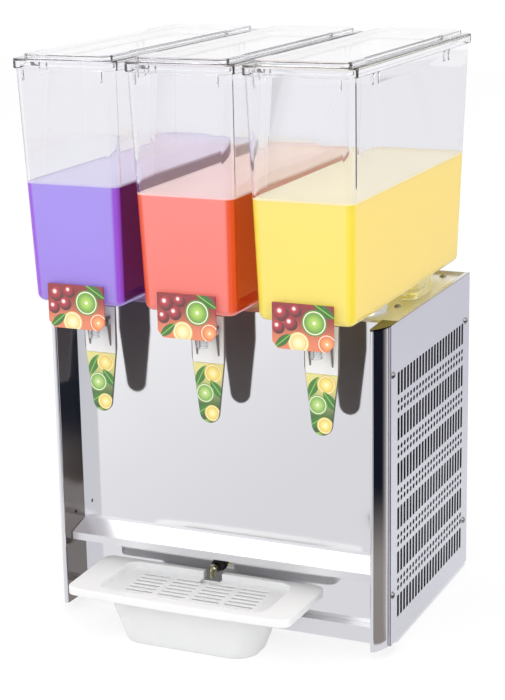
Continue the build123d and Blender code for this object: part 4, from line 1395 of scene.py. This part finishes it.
    def dress_tap(self) -> None:
        """Finish the tap's pieces and add its spring and printed faces."""
        dress_all(
            {
                f"tap_housing_{self.side}": Finishes.TAP,
                f"lever_pin_{self.side}": Finishes.BRIGHT,
                f"tap_plunger_{self.side}": Finishes.WHITE,
                f"plunger_seal_{self.side}": Finishes.SEAL,
                f"stirrer_{self.side}": Finishes.WHITE,
                f"stirrer_shaft_{self.side}": Finishes.BRIGHT,
            }
        )
        dress(f"tap_lever_{self.side}", Finishes.LEVER, self.lever_edge)
        self.make_spring()
        self.make_fascia()
        LeverFace(self.side, self.x).build()

    def make_spring(self) -> None:
        """Make the return spring as a copy of the CAD solid, riding on the tank."""
        node = f"plunger_spring_{self.side}"
        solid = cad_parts[node]
        spring = add_object(f"return_spring_{self.side}", solid.data.copy())
        spring.matrix_world = solid.matrix_world.copy()
        repaint(spring, Finishes.BRIGHT)
        smooth(spring, sharp=60.0)
        own(spring, f"tank_{self.side}", "pin_steel", node)
        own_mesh(spring)

    def make_fascia(self) -> None:
        """Make the printed plate in front of the tap."""
        low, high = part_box(f"tap_fascia_{self.side}")
        half = (high.x - low.x) / 2
        tall = (high.z - low.z) / 2
        cut_x, cut_z = self.fascia_cut
        top_radius, low_radius = self.fascia_corner, self.fascia_low_corner
        corners = [(-half + cut_x, -tall, low_radius), (half - cut_x, -tall, low_radius)]
        corners += [(half, -tall + cut_z, low_radius), (half, tall, top_radius)]
        corners += [(-half, tall, top_radius), (-half, -tall + cut_z, low_radius)]
        maker = MeshMaker()
        maker.slab(soften(corners, steps=4), 0.0, high.y - low.y, self.fascia_edge)
        maker.turn(Matrix.Rotation(math.pi / 2, 4, "X"))
        plate = maker.done(f"fascia_{self.side}", Finishes.FASCIA)
        plate.location = ((low.x + high.x) / 2, high.y, (low.z + high.z) / 2)
        own(plate, f"tank_{self.side}", "white_fascia", f"tap_fascia_{self.side}")


class Flank(Enum):
    """A side of the cabinet, by the sign of its X."""

    RIGHT = 1
    LEFT = -1


@dataclass
class Cabinet:
    """Sheet-metal cabinet with its vents, ledge and fasteners."""

    sheet: float = 0.0012
    edge: float = 0.0004
    clearance: float = 0.0002
    vent_front: float = -0.087
    vent_top: float = 0.3415
    columns: int = 23
    rows: int = 6
    pitch_y: float = 0.011
    pitch_z: float = 0.055
    slot_width: float = 0.0066
    slot_height: float = 0.027
    slot_corner: float = 0.0012
    dot: float = 0.0032
    lip: Point = (0.0068, 0.0004)
    lip_edge: float = 0.0003
    hem: Point = (0.0024, 0.0008)
    hem_edge: float = 0.0002
    louvres: int = 9
    louvre_x: float = 0.080
    louvre_low: float = 0.070
    louvre_pitch: float = 0.016
    louvre_height: float = 0.006
    louvre_length: float = 0.150
    hood_depth: float = 0.007
    hood_wall: float = 0.001
    hood_drop: float = 0.003
    hood_steps: int = 6

    def build(self) -> None:
        """Dress the sheets and make the vented sides and the hoods."""
        dress_all(
            {
                "front_panel": Finishes.FRONT,
                "ledge_trim": Finishes.LEDGE,
                "top_deck": Finishes.DECK,
                "back_panel": Finishes.SHADED_SIDE,
                "corner_posts": Finishes.POST,
                "base_pan": Finishes.LEDGE,
                "dome_screws": Finishes.SCREW,
                "rubber_feet": Finishes.RUBBER,
                "cord_gland": Finishes.RUBBER,
                "drain_pipe": Finishes.RUBBER,
                "drain_nozzle": Finishes.NOZZLE,
            }
        )
        for flank in Flank:
            self.make_side(flank)
        self.make_hoods()

    def make_hoods(self) -> None:
        """Make the pressed hoods over the outlet louvres of the back panel, open downwards."""
        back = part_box("back_panel")[1].y
        left = self.louvre_x - self.louvre_length / 2 - self.hood_wall
        right = left + self.louvre_length + 2 * self.hood_wall
        tall = self.louvre_height + self.hood_wall + self.hood_drop
        turns = [(math.cos(a), math.sin(a)) for a in quarter(self.hood_steps)]
        maker = MeshMaker()
        for row in range(self.louvres):
            low = self.louvre_low + self.louvre_pitch * row - self.hood_drop
            outer = [(back + self.hood_depth * c, low + tall * s) for c, s in turns]
            inner = [(y - self.hood_wall * c, z - self.hood_wall * s) for (y, z), (c, s) in zip(outer, turns)]
            maker.bar(outer + inner[::-1], left, right)
            for end in (left - self.hood_wall, right):
                maker.bar([(back, low), *outer], end, end + self.hood_wall)
        hoods = maker.done("louvre_hoods", Finishes.SHADED_SIDE, sharp=50.0)
        hoods.data.materials.append(Finishes.BLACK.material())
        # Faces that look down or back at the panel lie in the hood's own shade, so they get black plastic as painted
        # shade.
        for polygon in hoods.data.polygons:
            polygon.material_index = int(min(polygon.normal.y, polygon.normal.z) < -0.1)
        own(hoods, "cabinet", "polished_stainless")

    def vents(self, flank: Flank) -> Iterable[Outline]:
        """Yield the outline of every punched hole; only the right side has round holes between its slots.

        Args:
            flank: which side.

        Returns:
            The outlines as (y, z), row by row from the top.
        """
        half, tall = self.slot_width / 2 + self.edge, self.slot_height / 2 + self.edge
        gap = self.pitch_z - self.slot_height
        for row in range(self.rows):
            top = self.vent_top - self.pitch_z * row
            z = top - self.slot_height / 2
            for column in range(self.columns):
                y = self.vent_front + self.pitch_y * column
                yield rounded_box((y - half, z - tall), (y + half, z + tall), self.slot_corner, steps=2)
                if flank is Flank.RIGHT and row < self.rows - 1:
                    for share in (1, 2):
                        yield circle((y, top - self.slot_height - gap * share / 3), self.dot + self.edge, steps=12)

    def punched_sheet(self, flank: Flank, outer: float) -> bpy.types.Mesh:
        """Punch the flat sheet of one side.

        Args:
            flank: which side.
            outer: X of the sheet's outer face.

        Returns:
            The sheet's mesh, standing in its place.
        """
        low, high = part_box("side_panels")
        border = [(low.y, low.z), (high.y, low.z), (high.y, high.z), (low.y, high.z)]
        curve = bpy.data.curves.new(f"punched_{flank.name.lower()}", "CURVE")
        curve.dimensions = "2D"
        curve.fill_mode = "BOTH"
        curve.extrude = self.sheet / 2 - self.edge
        curve.bevel_depth = self.edge
        curve.bevel_resolution = 2
        for outline in [inset(border, self.edge), *self.vents(flank)]:
            spline = curve.splines.new("POLY")
            spline.points.add(len(outline) - 1)
            spline.use_cyclic_u = True
            for point, (y, z) in zip(spline.points, outline):
                point.co = (y, z, 0.0, 1.0)
        drawn = add_object(curve.name, curve)
        punched = final_mesh(drawn)
        bpy.data.objects.remove(drawn)
        middle = outer - flank.value * self.sheet / 2
        punched.transform(Matrix(((0, 0, 1, middle), (1, 0, 0, 0), (0, 1, 0, 0), (0, 0, 0, 1))))
        return punched

    def make_side(self, flank: Flank) -> None:
        """Make one side panel: the punched sheet, the lip along its top and the hem at its front.

        Args:
            flank: which side.
        """
        low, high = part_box("side_panels")
        outer = high.x if flank is Flank.RIGHT else low.x
        under = high.z - self.sheet
        maker = MeshMaker()
        maker.bm.from_mesh(self.punched_sheet(flank, outer))
        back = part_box("back_panel")[0].y - self.clearance
        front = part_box("front_panel")[0].y + self.sheet + self.clearance
        lip = sorted(outer - flank.value * depth for depth in self.lip)
        maker.block((lip[0], front, under), (lip[1], back, high.z), self.lip_edge)
        hem = sorted(outer - flank.value * depth for depth in self.hem)
        maker.block((hem[0], low.y + self.clearance, low.z), (hem[1], low.y + self.sheet, under), self.hem_edge)
        panel = maker.done(f"vented_side_{flank.name.lower()}", Finishes.SHADED_SIDE, sharp=30.0)
        panel.data.materials.append(Finishes.CUT_IN_SHADE.material())
        # The walls of the punched holes get painted shade, darker than the sheet's face.
        for polygon in panel.data.polygons:
            in_sheet = abs(polygon.center.x - outer) < self.sheet
            polygon.material_index = int(in_sheet and abs(polygon.normal.x) < 0.75)
        own(panel, "cabinet", "polished_stainless", "side_panels")


@dataclass
class CoolingUnit:
    """What is inside the cabinet and what stands up from its deck."""

    def build(self) -> None:
        """Dress the cooling pieces."""
        dress_all(
            {
                "evaporators": Finishes.DRUM,
                "tank_gaskets": Finishes.SEAL,
                "motors": Finishes.MOTOR,
                "compressor": Finishes.PAINT,
                "condenser": Finishes.FINS,
                "fan_blade": Finishes.BLACK,
            }
        )


@dataclass
class Controls:
    """Switches and knob on the back."""

    edge: float = 0.0006
    rocker_edge: float = 0.0005

    def build(self) -> None:
        """Dress the controls."""
        dress("switch_bezels", Finishes.BLACK, self.edge)
        dress("rocker_stirring", Finishes.BLACK, self.rocker_edge)
        dress("rocker_cooling", Finishes.BLACK, self.rocker_edge)
        dress("thermostat_knob", Finishes.BLACK, self.edge)


@dataclass
class DripTray:
    """White drip tray in front."""

    grille_edge: float = 0.001
    basin_edge: float = 0.0012

    def build(self) -> None:
        """Dress the tray's two pieces."""
        dress("drip_tray_grille", Finishes.WHITE, self.grille_edge)
        dress("drip_tray_basin", Finishes.WHITE, self.basin_edge)


@dataclass
class Studio:
    """Floor, light and camera."""

    image: Point = (505.0, 700.0)
    focal_pixels: float = 1833.9
    eye: tuple[float, float, float] = (0.8944, -2.0093, 0.9108)
    yaw: float = 24.054
    pitch: float = 14.891
    roll: float = -1.038
    bounces: int = 32
    floor_reach: float = 6.0
    flag_height: float = 0.002
    left_flag: tuple[Point, ...] = (
        (0.055, -0.452), (0.03, -0.50), (0.06, -0.56), (0.13, -0.69), (0.29, -0.97), (0.44, -1.23),
        (0.78, -1.80), (1.10, -2.40), (1.80, -2.33), (1.14, -1.59), (0.47, -0.84), (0.15, -0.48),
    )
    right_flag: tuple[Point, ...] = ((0.25, -0.09), (0.25, -0.18), (1.90, -1.63), (2.40, -1.01), (2.40, 1.555))

    def build(self) -> None:
        """Set the stage."""
        self.add_camera()
        self.add_world()
        self.add_floor()
        self.add_flags()
        self.add_lights()
        scene = bpy.context.scene
        scene.view_settings.view_transform = "Standard"
        scene.cycles.max_bounces = self.bounces + 4
        scene.cycles.transmission_bounces = self.bounces
        scene.cycles.glossy_bounces = self.bounces

    def add_camera(self) -> None:
        """Stand the camera where the picture was taken from."""
        yaw, pitch, roll = (math.radians(a) for a in (self.yaw, self.pitch, self.roll))
        ahead = Vector((-math.sin(yaw) * math.cos(pitch), math.cos(yaw) * math.cos(pitch), -math.sin(pitch)))
        level = Vector((math.cos(yaw), math.sin(yaw), 0.0))
        upright = level.cross(ahead)
        right = level * math.cos(roll) + upright * math.sin(roll)
        up = upright * math.cos(roll) - level * math.sin(roll)
        lens = bpy.data.cameras.new("camera")
        lens.sensor_width = 36.0
        lens.lens = self.focal_pixels * lens.sensor_width / max(self.image)
        camera = add_object("camera", lens)
        turn = Matrix((right, up, -ahead)).transposed()
        camera.matrix_world = Matrix.Translation(self.eye) @ turn.to_4x4()
        bpy.context.scene.camera = camera

    def add_world(self) -> None:
        """Light the room evenly, with a plain white background."""
        world = bpy.data.worlds.new("studio")
        bpy.context.scene.world = world
        tree = Tree(world)
        rays = tree.node("ShaderNodeLightPath")
        seen = rays.out("Is Camera Ray").most(rays.out("Is Transmission Ray")).most(rays.out("Is Glossy Ray"))
        strength = seen * 0.15 + 0.85
        glow = tree.node("ShaderNodeBackground", None, {"Color": (1.0, 1.0, 1.0), "Strength": strength})
        tree.node("ShaderNodeOutputWorld", None, {"Surface": glow})

    def add_floor(self) -> None:
        """Lay a pale floor that keeps the machine's shadow and that polished metal sees greyer."""
        material = bpy.data.materials.new("pale floor")
        tree = Tree(material)
        rays = tree.node("ShaderNodeLightPath")
        through = rays.out("Is Transmission Ray")
        seen = rays.out("Is Camera Ray").most(through)
        place = tree.place()
        paper = tree.mix(tree.noise(place, 3.0, 2.0), (0.9, 0.9, 0.9), (0.93, 0.93, 0.93))
        matt = tree.node("ShaderNodeBsdfDiffuse", None, {"Color": paper})
        white = tree.glow((1.0, 1.0, 1.0), 1.06)
        lit = tree.node("ShaderNodeMixShader", None, {0: seen * 0.75, 1: matt, 2: white})
        across, along, _ = tree.axes(place)
        before = tree.mix(across.rise(-0.9, 0.0), (1.0, 1.0, 1.01), (0.80, 0.80, 0.82))
        behind = tree.mix(along.rise(0.3, 1.4), (0.86, 0.87, 0.90), (0.66, 0.66, 0.72))
        grey = tree.glow(tree.mix(along.rise(0.0, 0.2), before, behind))
        # Rays bent by clear plastic count as glossy too, so they see the grey only in part.
        mirrored = rays.out("Is Glossy Ray") * (1.0 - through * 0.6)
        tree.show(tree.node("ShaderNodeMixShader", None, {0: mirrored, 1: lit, 2: grey}))
        far = self.floor_reach
        self.sheet("floor", [(-far, -far), (far, -far), (far, far), (-far, far)], 0.0, material)

    def sheet(self, name: str, outline: Sequence[Point], z: float, material: bpy.types.Material) -> bpy.types.Object:
        """Lay a flat piece of the stage.

        Args:
            name: its name.
            outline: its outline.
            z: its height.
            material: its material.

        Returns:
            The laid piece.
        """
        maker = MeshMaker()
        maker.cap(maker.ring(outline, z))
        laid = add_object(name, maker.mesh(name, material))
        laid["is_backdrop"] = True
        return laid

    def add_flags(self) -> None:
        """Lay the dark flags that only the polished metal reflects."""
        material = bpy.data.materials.new("dark flag")
        tree = Tree(material)
        across, along, _ = tree.axes(tree.place())
        right, ahead = across - 0.21, along + 0.12
        far = (right * right + ahead * ahead).root().rise(0.25, 0.62)
        black = tree.mix(far, (0.30, 0.27, 0.25), (0.008, 0.01, 0.018))
        fringe = (ahead / right).rise(0.36, 0.82) * ahead.rise(0.0, 0.05)
        tree.show(tree.glow(tree.mix(fringe, black, (0.50, 0.46, 0.45))))
        for name, outline in (("left", self.left_flag), ("right", self.right_flag)):
            flag = self.sheet(f"flag for the {name} post", outline, self.flag_height, material)
            flag.visible_camera = False
            flag.visible_diffuse = False
            flag.visible_transmission = False
            flag.visible_shadow = False

    def add_lights(self) -> None:
        """Hang the soft lamps."""
        self.lamp("key", (-1.6, -2.2, 2.2), (0.0, 0.0, 0.4), 1.6, 26.0)
        self.lamp("fill", (2.2, -0.8, 1.4), (0.0, 0.0, 0.4), 1.4, 14.0)
        self.lamp("overhead", (0.0, -0.7, 2.6), (0.0, -0.2, 0.2), 1.6, 8.0)

    def lamp(self, name: str, eye: Sequence[float], target: Sequence[float], size: float, power: float) -> None:
        """Hang one square lamp.

        Args:
            name: its name.
            eye: where it hangs.
            target: what it points at.
            size: length of its side.
            power: its power in watts.
        """
        light = bpy.data.lights.new(name, "AREA")
        light.size = size
        light.energy = power
        lamp = add_object(name, light)
        lamp.location = eye
        lamp.rotation_mode = "QUATERNION"
        lamp.rotation_quaternion = (Vector(target) - Vector(eye)).to_track_quat("-Z", "Y")


def drinks() -> dict[str, Drink]:
    """Mix the drinks.

    Returns:
        The drink of each tank, by the tank's side.
    """
    purple = Drink(
        "purple drink",
        (0.48, 0.38, 0.91),
        0.3,
        froth_and_sheen=paint(0xE4DEFC),
        deep=(0.39, 0.08, 0.76),
        shade=(0.10, 0.003, 0.13),
        glow=0.23,
        level=0.558,
    )
    coral = Drink(
        "coral drink",
        (0.92, 0.29, 0.26),
        0.3,
        froth_and_sheen=paint(0xFCD6D4),
        deep=(0.80, 0.09, 0.003),
        shade=(0.55, 0.03, 0.001),
        glow=0.355,
        level=0.552,
    )
    yellow = Drink(
        "yellow drink",
        (0.91, 0.78, 0.225),
        0.3,
        froth_and_sheen=paint(0xFDEEC8),
        deep=(0.89, 0.74, 0.07),
        shade=(0.94, 0.75, 0.18),
        glow=0.335,
        level=0.554,
    )
    return {"left": purple, "middle": coral, "right": yellow}


def write_sizes() -> None:
    """Gather the CAD box and the dressed model's box, and drop them."""
    boxes = {"cad": CAD_BOX, "visual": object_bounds()}
    {name: [list(corner) for corner in box] for name, box in boxes.items()}


def main() -> None:
    """Build the machine's looks, sub-assembly by sub-assembly."""
    logging.basicConfig(level=logging.INFO, format="%(name)s: %(message)s")
    Studio().build()
    Cabinet().build()
    CoolingUnit().build()
    Controls().build()
    DripTray().build()
    drum_low, drum_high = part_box("evaporators")
    for side, drink in drinks().items():
        low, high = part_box(f"tank_{side}")
        TankUnit(side, (low.x + high.x) / 2, (drum_low.y + drum_high.y) / 2, drink).build()
    write_sizes()


if __name__ == "__main__":
    main()
